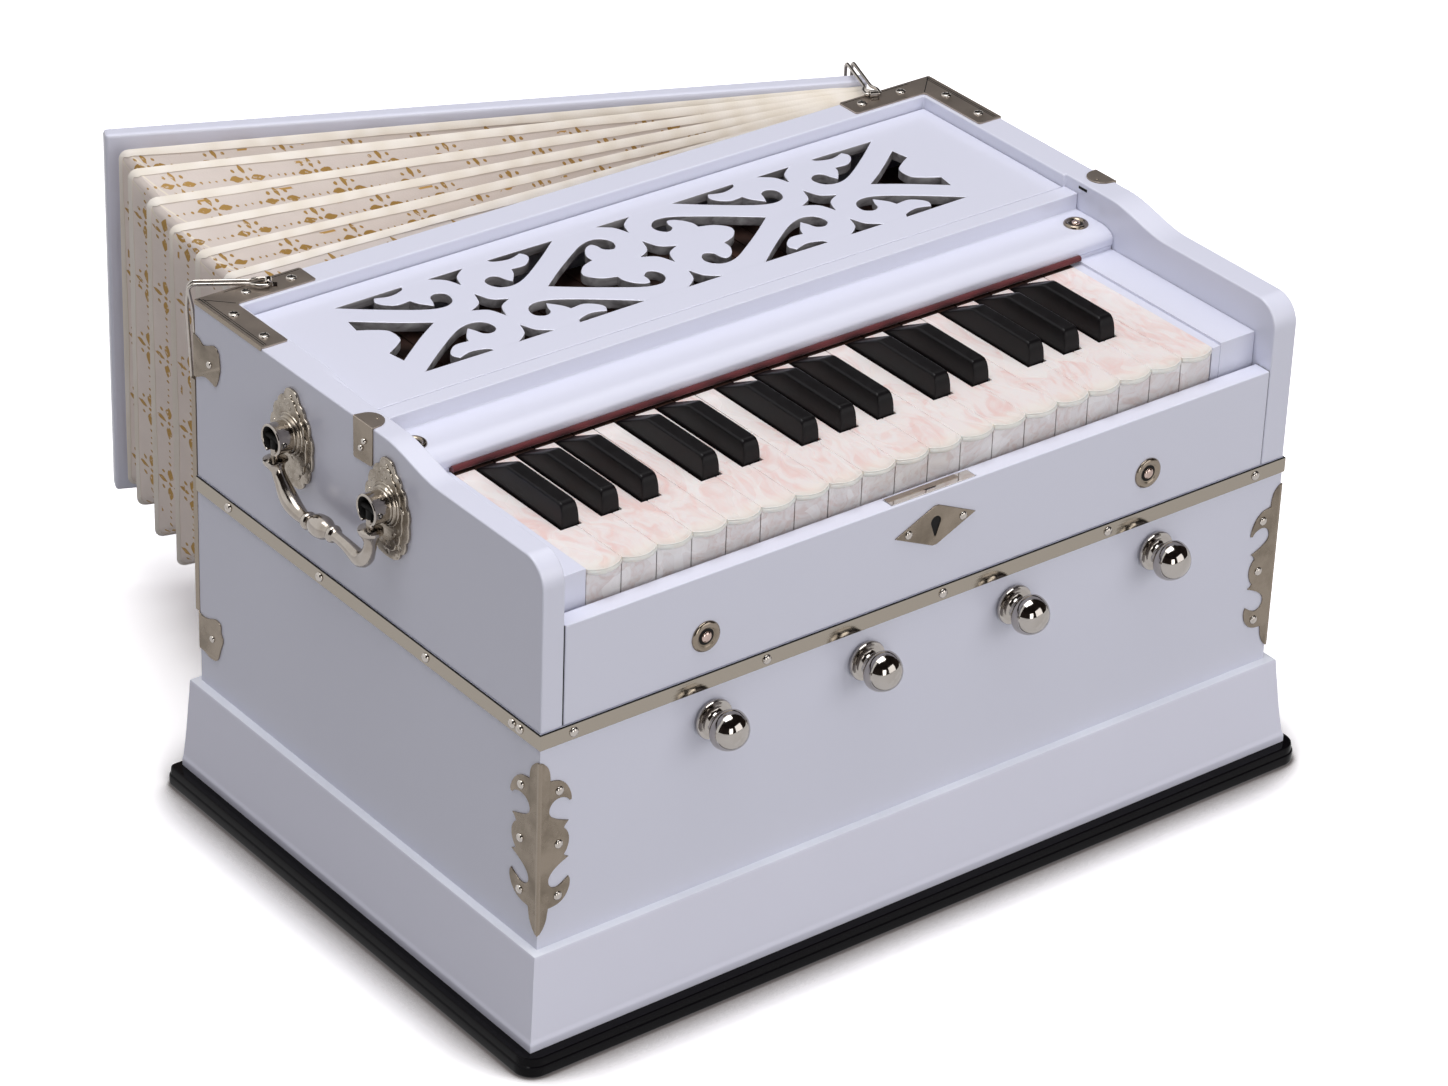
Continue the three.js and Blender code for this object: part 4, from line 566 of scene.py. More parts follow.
def cut_sheet(name, outlines, thickness, edge, place, *materials):
    """Sheet cut to closed outlines in millimetres, with its edges rounded over, centred on its own plane."""
    curve = bpy.data.curves.new(name + "_outline", "CURVE")
    curve.dimensions = "2D"
    curve.fill_mode = "BOTH"
    curve.extrude = thickness / 2 - edge
    curve.bevel_depth = edge
    curve.bevel_resolution = 2
    curve.offset = -edge
    for outline in outlines:
        spline = curve.splines.new("POLY")
        spline.points.add(len(outline) - 1)
        for point, (x, y) in zip(spline.points, outline):
            point.co = (x, y, 0, 1)
        spline.use_cyclic_u = True
    drawn = bpy.data.objects.new(name + "_outline", curve)
    scene.collection.objects.link(drawn)
    mesh = bpy.data.meshes.new_from_object(drawn.evaluated_get(bpy.context.evaluated_depsgraph_get()))
    bpy.data.objects.remove(drawn)
    bpy.data.curves.remove(curve)
    mesh.transform(Matrix.Scale(MM, 4) @ place)
    with opened(mesh) as bm:
        bmesh.ops.remove_doubles(bm, verts=bm.verts, dist=0.000005)
    mesh.materials.clear()
    mesh.name = name
    soften(mesh, 30)
    return add_object(name, mesh, *materials)


def plane_at(origin, across, up):
    """A frame whose x runs across, y up, and z out of the sheet's face."""
    across, up = Vector(across).normalized(), Vector(up).normalized()
    out = across.cross(up)
    return Matrix((
        (across.x, up.x, out.x, origin[0]),
        (across.y, up.y, out.y, origin[1]),
        (across.z, up.z, out.z, origin[2]),
        (0, 0, 0, 1),
    ))


FRONT, LEFT, RIGHT, BACK, UP = (0, -1, 0), (-1, 0, 0), (1, 0, 0), (0, 1, 0), (0, 0, 1)


def lying(*origin):
    """A sheet lies on its back: x to the right, y to the rear."""
    return plane_at(origin, RIGHT, BACK)


def upright(side, *origin):
    """A sheet stands: on the front (side 0), or on the left (-1) or right (1) of the case."""
    return plane_at(origin, (0, side, 0) if side else RIGHT, UP)


def arc(x, y, radius, start, end, steps):
    points = []
    for i in range(steps + 1):
        angle = math.radians(start + (end - start) * i / steps)
        points.append((x + radius * math.cos(angle), y + radius * math.sin(angle)))
    return points


lock_hole = arc(3, 0, 1.1, -90, 90, 6) + arc(-3, 0, 1.1, 90, 270, 6)
lock_plate = cut_sheet("lock_plate", [rounded_outline(-29, 29, -3.7, 3.7, 0.6, 3), lock_hole], 1.2, 0.2,
                       lying(0, -157.4, slip_top - 0.7), bright_nickel, brown_nickel)
with opened(lock_plate.data, False) as bm:
    skin(bm, x_rings([(-157.6, slip_top - 0.6), (-153.9, slip_top - 0.6), (-153.9, slip_top + 0.15),
                      (-157.6, slip_top + 0.15)], (-28.6, 20.0)), "capped", 1)
fit(lock_plate, "case", "nickel")
KEYHOLE_Z = 241.8
key_hole = arc(0, 2.2, 3.5, -35, 215, 12) + [(-0.5, -6.6), (0.5, -6.6)]
diamond = [(-28, 0), (-1.5, -12.2), (1.5, -12.2), (28, 0), (1.5, 12.2), (-1.5, 12.2)]
fit(cut_sheet("keyhole_plate", [diamond, key_hole], 0.9, 0.25, upright(0, 0, FRONT_Y - 0.45, KEYHOLE_Z),
              plate_nickel), "case", "nickel")
# A near-black paint, used wherever shade is painted: in holes, slots, gaps and bores.
shadow_paint = plain_paint("painted_shadow_black", {"Base Color": (0.004, 0.0035, 0.003), "Roughness": 0.9})[0]
upper.data.materials[1] = shadow_paint
# Black boxes behind the keyhole and in the gaps beside the slip are painted shade.
shadow_bm = bmesh.new()
skin(shadow_bm, box_rings((-5, 5), (FRONT_Y - 0.35, -158.0), (234.5, 248.5)))
for shadow_x in ((LEFT_IN + 0.1, LEFT_IN + 0.7), (RIGHT_IN - 0.5, RIGHT_IN - 0.1)):
    skin(shadow_bm, box_rings(shadow_x, (FRONT_Y + 0.8, slip_back), (SEAM_Z + 0.5, slip_top - 0.4)))
made_up("painted_shadow_black", shadow_bm, 0, (shadow_paint,), "case", "nickel")

# Rivets and screws: round heads of polished nickel, one row for each plate or board that they hold.
# Each row is points with a facing, and Geometry Nodes set a head on every point.
rivet_nickel = nickel("rubbed_nickel_rivet", (0.55, 0.51, 0.47), (0.3, 0.26, 0.22), 0.6, 0.12, 300.0, 0.05)


def rivet_tree():
    tree, given, made = node_group("rivet_row", "GeometryNodeTree",
                                   (("Geometry", "Geometry"), ("Head Radius", "Float", 0.0028),
                                    ("Head Height", "Float", 0.0014), ("Metal", "Material")),
                                   (("Geometry", "Geometry"),))
    radius = given["Head Radius"]
    size = node(tree, "CombineXYZ", {"X": radius, "Y": radius, "Z": given["Head Height"]})
    ball = node(tree, "GeometryNodeMeshUVSphere", {"Segments": 20, "Rings": 12, "Radius": 1.0})
    head = node(tree, "GeometryNodeTransform", {"Geometry": ball.outputs["Mesh"], "Scale": size})
    smooth = node(tree, "GeometryNodeSetShadeSmooth", {"Geometry": head})
    facing = node(tree, "GeometryNodeInputNamedAttribute", {"Name": "facing"}, data_type="FLOAT_VECTOR")
    turn = node(tree, "FunctionNodeAlignRotationToVector", {"Vector": facing.outputs["Attribute"]}, axis="Z")
    heads = node(tree, "GeometryNodeInstanceOnPoints",
                 {"Points": given["Geometry"], "Instance": smooth, "Rotation": turn})
    real = node(tree, "GeometryNodeRealizeInstances", {"Geometry": heads})
    metal = node(tree, "GeometryNodeSetMaterial", {"Geometry": real, "Material": given["Metal"]})
    feed(made, {"Geometry": metal})
    return tree


rivet_row = rivet_tree()


def run_tree(piece, tree, values):
    """Geometry Nodes run on a piece with these named inputs, and what they make becomes its mesh."""
    modifier = piece.modifiers.new(tree.name, "NODES")
    modifier.node_group = tree
    for item in tree.interface.items_tree:
        if item.in_out == "INPUT" and item.name in values:
            modifier[item.identifier] = values[item.name]
    piece.update_tag()
    applied(piece)


def rivets(name, places, radius, height, metal):
    """places is a list of (x, y, z, facing) in millimetres, each on the face that the head stands on."""
    mesh = bpy.data.meshes.new(name)
    mesh.from_pydata([Vector(place[:3]) * MM for place in places], [], [])
    facing = mesh.attributes.new("facing", "FLOAT_VECTOR", "POINT")
    for i, place in enumerate(places):
        facing.data[i].vector = place[3]
    row = add_object(name, mesh)
    run_tree(row, rivet_row, {"Head Radius": radius * MM, "Head Height": height * MM, "Metal": metal})
    fit(row, "case", "nickel")


rivets("keyhole_rivets", [(x, FRONT_Y - 0.9, KEYHOLE_Z, FRONT) for x in (-19, 19)], 2.6, 1.5, rivet_nickel)

# Cup washers: a turned ring of nickel, let over the slip's face, round each end screw.
# The ring is dished, with a gap painted black as shade and a bright screw head in its middle.


def turned(bm, profile, centre, axis, sides=32, material=0):
    """A closed profile of (radius, distance) points in millimetres, turned about an axis."""
    turn = Vector(axis).to_track_quat("Z", "Y").to_matrix()
    rings = []
    for radius, along in profile:
        ring = []
        for i in range(sides):
            angle = 2 * math.pi * i / sides
            local = Vector((radius * math.cos(angle), radius * math.sin(angle), along))
            ring.append(Vector(centre) + turn @ local)
        rings.append(ring)
    skin(bm, rings, "capped", material)


def cup_washer(name, centre, axis, r):
    cup = [(0.98, -0.5), (1, 0.4), (0.95, 1.2), (0.84, 1.75), (0.72, 1.7), (0.6, 1.25), (0.53, 0.6)]
    gap = [(0.55, -0.3), (0.55, 0.62), (0.3, 0.66)]
    screw = [(0.37, 0.2), (0.37, 1.0), (0.33, 1.6), (0.24, 2.1), (0.12, 2.4), (0.05 / r, 2.5)]
    bm = bmesh.new()
    for material, (profile, sides) in enumerate(((cup, 40), (gap, 40), (screw, 32))):
        turned(bm, [(share * r, up) for share, up in profile], centre, axis, sides, material)
    made_up(name, bm, 50, (plate_nickel, shadow_paint, screw_nickel), "case", "nickel")


screw_nickel = nickel("reddened_screw", (0.6, 0.47, 0.42), (0.36, 0.25, 0.2), 0.6, 0.12, 300.0, 0.05)
for word, side in (("left", -1), ("right", 1)):
    cup_washer(f"slip_washer_{word}", (side * 154.3, FRONT_Y, 224.8), FRONT, 9.2)

# Trim band: a strip of worn nickel, nailed with round rivets over the seam between the two cases.
# It goes round the front and both sides, with folded corners.
BAND_H = 9.5
band_profile = [(0, 0), (0.75, 0.0), (1.0, 0.35), (1.0, BAND_H - 0.35), (0.75, BAND_H), (0, BAND_H)]
band_bm = bmesh.new()
band_rings = []
for out, up in band_profile:
    x, y, z = SIDE_X + out, FRONT_Y - out, SEAM_Z - BAND_H + up
    band_rings.append([(-x, REAR_Y, z), (-x, y, z), (x, y, z), (x, REAR_Y, z), (SIDE_X, REAR_Y, z),
                       (SIDE_X, FRONT_Y, z), (-SIDE_X, FRONT_Y, z), (-SIDE_X, REAR_Y, z)])
skin(band_bm, band_rings, "joined")
band_mesh = finished("trim_band_dressed", band_bm)
# The band's upward faces take the black paint: a painted shadow line in the gap above it.
for face in band_mesh.polygons:
    face.material_index = 1 if face.normal.z > 0.5 else 0
soften(band_mesh)
fit(add_object("trim_band_dressed", band_mesh, band_nickel, shadow_paint), "case", "nickel", "trim_band")
band_z = SEAM_Z - BAND_H / 2
band_rivets = [(share * SIDE_X, FRONT_Y - 1, band_z, FRONT)
               for share in (-0.921, -0.435, 0.031, 0.488, 0.915)]
for y in [share * REAR_Y for share in (0.797, 0.243, -0.374, -0.855)] + [-146.5]:
    band_rivets += [(-SIDE_X - 1, y, band_z, LEFT), (SIDE_X + 1, y, band_z, RIGHT)]
rivets("trim_band_rivets", band_rivets, 2.9, 1.9, rivet_nickel)

# Name rail: the bull-nosed rail over the keys, with the square strip that the lid closes on.
# A strip of maroon felt under it quiets the keys, and a screw with a cup washer holds each end.
NAME_FRONT_Y, NAME_Z = -27.4, 283.0
rail_profile = [(17.0, NAME_Z), (17.0, 303.5), (5.5, 303.5), (5.5, NAME_Z + 10.5)]
for i in range(11):
    angle = math.pi / 2 * (1 + i / 10)
    rail_profile.append((NAME_FRONT_Y + 12 + 12 * math.cos(angle), NAME_Z + 4.5 + 6.0 * math.sin(angle)))
rail_profile += [(NAME_FRONT_Y + 0.1, NAME_Z + 1.6), (NAME_FRONT_Y + 0.8, NAME_Z + 0.4),
                 (NAME_FRONT_Y + 2, NAME_Z)]
name_rail = drawn_out("name_rail_dressed", x_rings(rail_profile, (LEFT_IN + 0.3, RIGHT_IN - 0.3)),
                      white_lacquer)
ease_edges(name_rail, 0.7, 3, 50)
fit(name_rail, "case", "case_lacquer", "name_rail")
for washer_x, washer_name in ((-233.5, "name_washer_left"), (229.0, "name_washer_right")):
    cup_washer(washer_name, (washer_x, -9.5, NAME_Z + 10.4), UP, 7.4)


def felt_material(name, colour, thread, braid_scale=60.0, depth=0.0005):
    felt, tree, surface = plain_paint(name, {"Roughness": 0.95, "Sheen Weight": 0.3})
    place = object_place(tree)
    fibres = node(tree, "TexNoise", {"Vector": place, "Scale": 900.0, "Detail": 4.0})
    braid = node(tree, "TexWave", {"Vector": place, "Scale": braid_scale, "Distortion": 9.0, "Detail": 3.0})
    braid = braid.outputs["Fac"]
    feed(surface, {"Base Color": mixed(tree, braid, colour, thread),
                   "Normal": bumped(tree, calc(tree, "ADD", fibres, braid), 0.7, depth)})
    return felt


maroon_felt = felt_material("maroon_felt", (0.13, 0.018, 0.022), (0.085, 0.011, 0.014), 9.0, 0.00015)
felt_profile = [(-26.0, 281.2), (-29.0, 281.2), (-29.7, 281.9), (-29.8, 283.2), (-29.3, 284.2),
                (-28.3, 284.6), (-27.2, 284.5), (-26.0, 283.2)]
felt_bm = bmesh.new()
skin(felt_bm, x_rings(felt_profile, (-221.8, 216.8)))
made_up("felt_strip", felt_bm, 50, (maroon_felt,), "case", "felt_red")

# Pierced lid: a lacquered board with traditional scrolls, diamonds and leaves sawn through it.
# It turns on two pins in its rounded rear edge. Runs of shares are smooth stretches between sharp corners.
FRET_X, FRET_Y, CROSSING, FRET_REACH = -3.75, 81.75, 115.8, 44.75
quarter_scroll = [
    [(1.64, 0.98), (0.65, 0.99)],
    [(0.65, 0.99), (0.7, 0.92), (0.9, 0.87), (1.1, 0.93)],
    [(1.1, 0.93), (1.15, 0.83), (1.1, 0.72), (0.96, 0.62), (0.77, 0.63)],
    [(0.77, 0.63), (0.72, 0.51), (0.59, 0.35)],
    [(0.59, 0.35), (0.54, 0.46), (0.5, 0.57), (0.4, 0.61), (0.3, 0.54), (0.3, 0.41), (0.38, 0.3),
     (0.55, 0.27), (0.8, 0.37), (1.25, 0.68), (1.64, 0.98)],
]
edge_triangle = [
    [(-0.26, 0.98), (0.26, 0.98)],
    [(0.26, 0.98), (0.08, 0.84), (0, 0.63)],
    [(0, 0.63), (-0.08, 0.84), (-0.26, 0.98)],
]
small_diamond = [
    [(0.28, 0), (0.09, 0.11), (0, 0.34)],
    [(0, 0.34), (-0.09, 0.11), (-0.28, 0)],
    [(-0.28, 0), (-0.09, -0.11), (0, -0.34)],
    [(0, -0.34), (0.09, -0.11), (0.28, 0)],
]
chevron = [
    [(1.71, 0), (1.37, 0.255), (0.95, 0.54), (0.7, 0.685), (0.505, 0.72), (0.38, 0.65), (0.33, 0.54),
     (0.36, 0.43), (0.44, 0.37), (0.54, 0.43), (0.555, 0.54), (0.6, 0.62), (0.7, 0.59), (0.79, 0.49),
     (0.84, 0.38), (0.84, 0.27)],
    [(0.84, 0.27), (1.02, 0.205), (1.14, 0.09), (1.175, 0)],
]
end_chevron = [
    [(0.85, 0), (1.22, 0.24), (1.7, 0.6)],
    [(1.7, 0.6), (1.74, 0.35)],
    [(1.74, 0.35), (1.58, 0.26), (1.43, 0.14), (1.4, 0)],
]


def smooth_run(points, steps=5):
    """A Catmull-Rom curve through the points, without its last point."""
    if len(points) == 2:
        return [points[0]]
    padded = [points[0]] + points + [points[-1]]
    made = []
    for a, b, c, d in zip(padded, padded[1:], padded[2:], padded[3:]):
        for i in range(steps):
            t = i / steps
            made.append(tuple(0.5 * (2 * q + (r - p) * t + (2 * p - 5 * q + 4 * r - s) * t * t
                                     + (3 * q - p - 3 * r + s) * t ** 3) for p, q, r, s in zip(a, b, c, d)))
    return made


def sawn(runs, x, flip_x, flip_y, mirrored=False):
    outline = [point for run in runs for point in smooth_run(run)]
    if mirrored:
        outline = outline + [runs[-1][-1]] + [(px, -py) for px, py in reversed(outline[1:])]
    return [(x + flip_x * px * FRET_REACH, FRET_Y + flip_y * py * FRET_REACH) for px, py in outline]


def wood(name, pale, dark, roughness, grain_axis):
    timber, tree, surface = plain_paint(name)
    scale = [10.0 if axis == grain_axis else 160.0 for axis in "XYZ"]
    along = node(tree, "Mapping", {"Vector": object_place(tree), "Scale": scale})
    grain = node(tree, "TexNoise", {"Vector": along, "Scale": 1.0, "Detail": 6.0, "Distortion": 0.6})
    feed(surface, {"Base Color": mixed(tree, ranged(tree, grain, 0.35, 0.65), pale, dark),
                   "Roughness": ranged(tree, grain, 0.0, 1.0, roughness - 0.08, roughness + 0.12),
                   "Normal": bumped(tree, grain, 0.25, 0.0004)})
    return timber


sawn_edge = wood("dark_grey_saw_cut", (0.4, 0.39, 0.4), (0.16, 0.15, 0.155), 0.6, "X")
lid_holes = []
for k in (-1, 0, 1):
    for shape, flip_y in ((small_diamond, 1), (edge_triangle, 1), (edge_triangle, -1)):
        lid_holes.append(sawn(shape, FRET_X + k * CROSSING, 1, flip_y))
for k in (-1, 1):
    centre_x = FRET_X + k * CROSSING
    lid_holes += [sawn(quarter_scroll, centre_x, flip_x, flip_y) for flip_x in (-1, 1) for flip_y in (1, -1)]
    lid_holes.append(sawn(end_chevron, centre_x, k, 1, True))
    lid_holes.append(sawn(chevron, FRET_X, k, 1, True))
LID_X, LID_Z = 240.5, 300.5
lid_edge = [(-LID_X, 17.3), (LID_X, 17.3), (LID_X, 143.4), (-LID_X, 143.4)]
lid = cut_sheet("fret_lid_dressed", [lid_edge] + lid_holes, 6.0, 0.7, lying(0, 0, LID_Z), white_lacquer,
                plate_nickel, sawn_edge)
# The walls of the sawn holes and the lid's underside are coloured dark grey.
with opened(lid.data) as bm:
    for wall in bm.faces:
        middle = wall.calc_center_median() / MM
        inside_edge = abs(middle.x) < 236 and 20 < middle.y < 140
        if (inside_edge and abs(wall.normal.z) < 0.4) or wall.normal.z < -0.5:
            wall.material_index = 2
    for side in (-1, 1):
        turned(bm, [(1.5, -4), (1.5, 6.6), (1.1, 7.0)], (side * 239.8, 141.0, LID_Z), (side, 0, 0), 16, 1)
soften(lid.data, 30)
fit(lid, "lid", "case_lacquer", "fret_lid")

# Key frame: the wooden bed with its front and balance rails, and a lacquered block at each end of the keys.
# Only the blocks show from outside. The bed is open under the reed chest, and the front rail carries green
# felt.
KEYS_X, PITCH, KEY_Y, KEY_TOP = -221.5, 22.75, -148.0, 280.0
PIVOT_Y, LEVER_Z, TAIL_Y = 36.0, 265.0, 128.0
# The woods inside the case are very dark: dark wood, with the shade inside the closed case painted into it.
dark_wood = wood("reddish_brown_wood", (0.075, 0.026, 0.016), (0.03, 0.011, 0.008), 0.45, "X")
key_wood = wood("key_wood_painted_dark", (0.06, 0.024, 0.015), (0.03, 0.012, 0.008), 0.6, "Y")
green_felt = felt_material("green_felt", (0.02, 0.07, 0.035), (0.012, 0.04, 0.02))


def box_into(bm, x, y, z, material=0, ease=0.0):
    """A box in millimetres, its upright corners and its top edges eased where ease is given."""
    rings = box_rings(x, y, z)
    if ease:
        rings = []
        top = z[1]
        for inset, radius, h in ((0, ease, z[0]), (0, ease, top - ease),
                                 (0.3 * ease, 0.7 * ease, top - 0.3 * ease), (ease, 0.02, top)):
            outline = rounded_outline(x[0] + inset, x[1] - inset, y[0] + inset, y[1] - inset, radius, 3)
            rings.append([(px, py, h) for px, py in outline])
    skin(bm, rings, "capped", material)


BED_X, OPEN_X, BED_Z = 240.6, 228.0, (SEAM_Z, SEAM_Z + 10.0)
whole_bed, bed_opening = (-BED_X, BED_X), (-OPEN_X, OPEN_X)
bed_bm = bmesh.new()
for x in ((-BED_X, -OPEN_X), (OPEN_X, BED_X)):
    box_into(bed_bm, x, (-151.5, 144.1), BED_Z)
for y in ((-151.5, 53.0), (132.0, 144.1)):
    box_into(bed_bm, bed_opening, y, BED_Z)
box_into(bed_bm, whole_bed, (-140.0, -128.0), (211.3, 255.0))
box_into(bed_bm, whole_bed, (-139.0, -129.0), (254.9, 256.5), 1, 0.8)
balance_rail = [(PIVOT_Y - 6, 211.1), (PIVOT_Y + 6, 211.1), (PIVOT_Y + 6, 256.7), (PIVOT_Y + 0.5, 264.7),
                (PIVOT_Y - 0.5, 264.7), (PIVOT_Y - 6, 256.7)]
skin(bed_bm, x_rings(balance_rail, whole_bed))
made_up("key_bed", bed_bm, 0, (dark_wood, green_felt), "case", "dark_wood", "key_frame")

blocks_bm = bmesh.new()
for x, y, z, ease in (((LEFT_IN + 0.3, KEYS_X - 0.4), (-148.5, 24.0), (211.3, 281.0), 0.5),
                      ((217.0, RIGHT_IN - 0.3), (-148.5, 24.0), (211.3, 281.0), 0.5),
                      ((211.2, 217.4), (-148.0, 24.0), (255.0, 279.3), 0.4),
                      ((217.4, RIGHT_IN - 0.7), (-26.4, 22.0), (280.4, 283.1), 0.2),
                      ((LEFT_IN + 0.7, -222.3), (-26.4, 22.0), (280.4, 283.1), 0.2)):
    box_into(blocks_bm, x, y, z, 0, ease)
made_up("key_blocks", blocks_bm, 35, (white_lacquer,), "case", "case_lacquer")

# Keys: spruce levers on the balance rail. The white ones wear pearl celluloid with a scalloped lip that
# overhangs, and a pearl front, glued on. The sharps wear a tapered black cap. Each key ends in a felted
# pallet over its reeds.


def pearl(name, ground, rose, cream, streak_scale, facet, glow, lip_tint=0.0):
    """Celluloid with flakes and veins. lip_tint makes it creamier towards the keys' front edge."""
    plain = {"Coat Weight": 0.5, "Coat Roughness": 0.05, "Subsurface Weight": glow,
             "Subsurface Radius": (0.004, 0.0025, 0.002), "Subsurface Scale": 1.0}
    sheet, tree, surface = plain_paint(name, plain)
    place = object_place(tree)
    warp = node(tree, "TexNoise", {"Vector": place, "Scale": 16.0, "Detail": 2.0})
    bent = node(tree, "VectorMath", {0: warp.outputs["Color"], 1: (0.05, 0.05, 0.05), 2: place},
                operation="MULTIPLY_ADD")
    flow = node(tree, "Mapping", {"Vector": bent, "Rotation": (0, 0, math.radians(38)),
                                  "Scale": (streak_scale, streak_scale * 0.36, streak_scale)})
    facets = node(tree, "TexVoronoi", {"Vector": flow, "Scale": 1.0, "Smoothness": 0.35},
                  feature="SMOOTH_F1")
    flakes = node(tree, "TexVoronoi", {"Vector": flow, "Scale": 1.0}).outputs["Color"]
    veins = node(tree, "TexNoise", {"Vector": flow, "Scale": 1.7, "Detail": 4.0, "Distortion": 1.4})
    veined = mixed(tree, ranged(tree, veins, 0.44, 0.66), ground, rose)
    flake_part = ranged(tree, node(tree, "SeparateColor", {"Color": flakes}), 0.45, 1.0, 0.0, facet)
    flaked = mixed(tree, flake_part, veined, cream)
    depth = node(tree, "SeparateXYZ", {"Vector": place}).outputs["Y"]
    lip_part = ranged(tree, depth, -0.139, -0.152, 0.0, lip_tint)
    feed(surface, {"Base Color": mixed(tree, lip_part, flaked, (0.95, 0.89, 0.77)),
                   "Roughness": ranged(tree, facets, 0.0, 1.0, 0.2, 0.34),
                   "Normal": bumped(tree, facets, 0.12, 0.0004)})
    return sheet


pearl_top = pearl("rose_pearl_celluloid", (0.93, 0.84, 0.815), (0.9, 0.68, 0.64), (0.95, 0.91, 0.88), 62.0,
                  0.7, 0.12, 0.6)
pearl_lip = pearl("cream_celluloid_lip", (0.98, 0.94, 0.85), (0.97, 0.88, 0.79), (0.99, 0.97, 0.91), 60.0,
                  0.5, 0.3)
pearl_front = pearl("grey_pearl_celluloid", (0.82, 0.78, 0.77), (0.74, 0.64, 0.61), (0.93, 0.91, 0.9), 95.0,
                    0.95, 0.05)

WHITE_KEYS = 19
key_plan = {"white": [], "sharp": []}
first, kind = 0, 0
while first < WHITE_KEYS:
    count, semitones = ((4, 7), (3, 5))[kind]
    here = min(count, WHITE_KEYS - first)
    left = KEYS_X + first * PITCH
    band = count * PITCH / semitones
    for k in range(here):
        neck = (left + 2 * k * band, left + (2 * k + 1) * band) if here > 1 else (left, left + PITCH)
        key_plan["white"].append((left + k * PITCH, left + (k + 1) * PITCH, *neck))
    if here == count:
        for step in range(1, 2 * count - 2, 2):
            key_plan["sharp"].append((left + step * band, left + (step + 1) * band))
    first, kind = first + here, 1 - kind


FRONT_FOOT_Z, COVER_REAR, LEVER_TOP, TAIL_FRONT = 251.0, -108.3, 277.4, -30.4
PALLET_Y, FELT_Z = (85.0, 125.0), (255.3, 257.4)


def key_tail(bm, x0, x1, front):
    """The lever behind a key's cover, and its pallet with a felt face."""
    box_into(bm, (x0, x1), (front, TAIL_Y), (LEVER_Z, LEVER_TOP))
    box_into(bm, (x0, x1), (TAIL_FRONT, TAIL_Y), (LEVER_TOP - 0.1, KEY_TOP))
    box_into(bm, (x0, x1), PALLET_Y, (257.3, LEVER_Z + 0.2))
    box_into(bm, (x0, x1), PALLET_Y, FELT_Z, 3)


for number, (x0, x1, neck0, neck1) in enumerate(key_plan["white"], 1):
    x0, x1 = x0 + 0.08, x1 - 0.08
    neck0, neck1 = max(neck0 + 0.35, x0), min(neck1 - 0.35, x1)
    cover = [(x0 + 0.5, KEY_Y - 0.3)]
    for i in range(1, 16):
        share = i / 16
        swell = math.sin(math.pi * share) ** 0.8
        cover.append((x0 + 0.5 + share * (x1 - x0 - 1.0), KEY_Y - 0.3 - 4.3 * swell))
    cover += [(x1 - 0.5, KEY_Y - 0.3), (x1, KEY_Y + 0.8), (x1, COVER_REAR - 0.6), (x1 - 0.5, COVER_REAR)]
    if neck1 < x1 - 0.6:
        cover += [(neck1, COVER_REAR)]
    else:
        cover[-1] = (x1, COVER_REAR)
    cover += [(neck1, -30.5), (neck0, -30.5)]
    if neck0 > x0 + 0.6:
        cover += [(neck0, COVER_REAR), (x0 + 0.5, COVER_REAR), (x0, COVER_REAR - 0.6)]
    else:
        cover += [(x0, COVER_REAR)]
    cover += [(x0, KEY_Y + 0.8)]
    key = cut_sheet(f"white_key_{number}_dressed", [cover], 2.5, 0.3, lying(0, 0, KEY_TOP - 1.25), key_wood,
                    pearl_top, pearl_lip, green_felt, pearl_front)
    front = cover[:16] + [(x1 - 0.5, KEY_Y - 0.3)]
    bead = []
    for i, (x, y) in enumerate(front):
        before, after = front[max(i - 1, 0)], front[min(i + 1, 16)]
        out = Vector((after[1] - before[1], before[0] - after[0], 0)).normalized()
        middle = Vector((x, y, KEY_TOP - 1.95)) - out * 1.5
        bead.append([middle + out * (1.95 * math.cos(a)) + Vector((0, 0, 1.97 * math.sin(a)))
                     for a in [math.tau * k / 16 for k in range(16)]])
    f0, f1 = x0 + 0.24, x1 - 0.24
    front_ring = [(f0, 0.9), (f1, 0.9), (f1, 0.3), (f1 - 0.4, 0.0), (f0 + 0.4, 0.0), (f0, 0.3)]
    with opened(key.data) as bm:
        for face in bm.faces:
            middle = face.calc_center_median()
            lip = middle.y < (KEY_Y + 0.6) * MM and abs(face.normal.z) < 0.95
            face.material_index = 2 if lip else 1
        skin(bm, bead, "capped", 2)
        skin(bm, box_rings((x0, x1), (KEY_Y + 0.9, COVER_REAR), (LEVER_Z, LEVER_TOP)))
        skin(bm, [[(x, KEY_Y + y, z) for x, y in front_ring] for z in (FRONT_FOOT_Z, 277.6)], "capped", 4)
        key_tail(bm, neck0, neck1, COVER_REAR - 0.1)
    soften(key.data, 40)
    fit(key, f"white_key_{number}", "key_pearl", f"white_key_{number}")


ebony, ebony_tree, ebony_surface = plain_paint("satin_black_cap", {"IOR": 1.26})
ebony_rub = node(ebony_tree, "TexNoise", {"Vector": object_place(ebony_tree), "Scale": 240.0, "Detail": 3.0})
feed(ebony_surface,
     {"Base Color": mixed(ebony_tree, ebony_rub, (0.004, 0.0035, 0.004), (0.008, 0.007, 0.008)),
      "Roughness": ranged(ebony_tree, ebony_rub, 0.0, 1.0, 0.24, 0.42),
      "Normal": bumped(ebony_tree, ebony_rub, 0.08, 0.0002)})


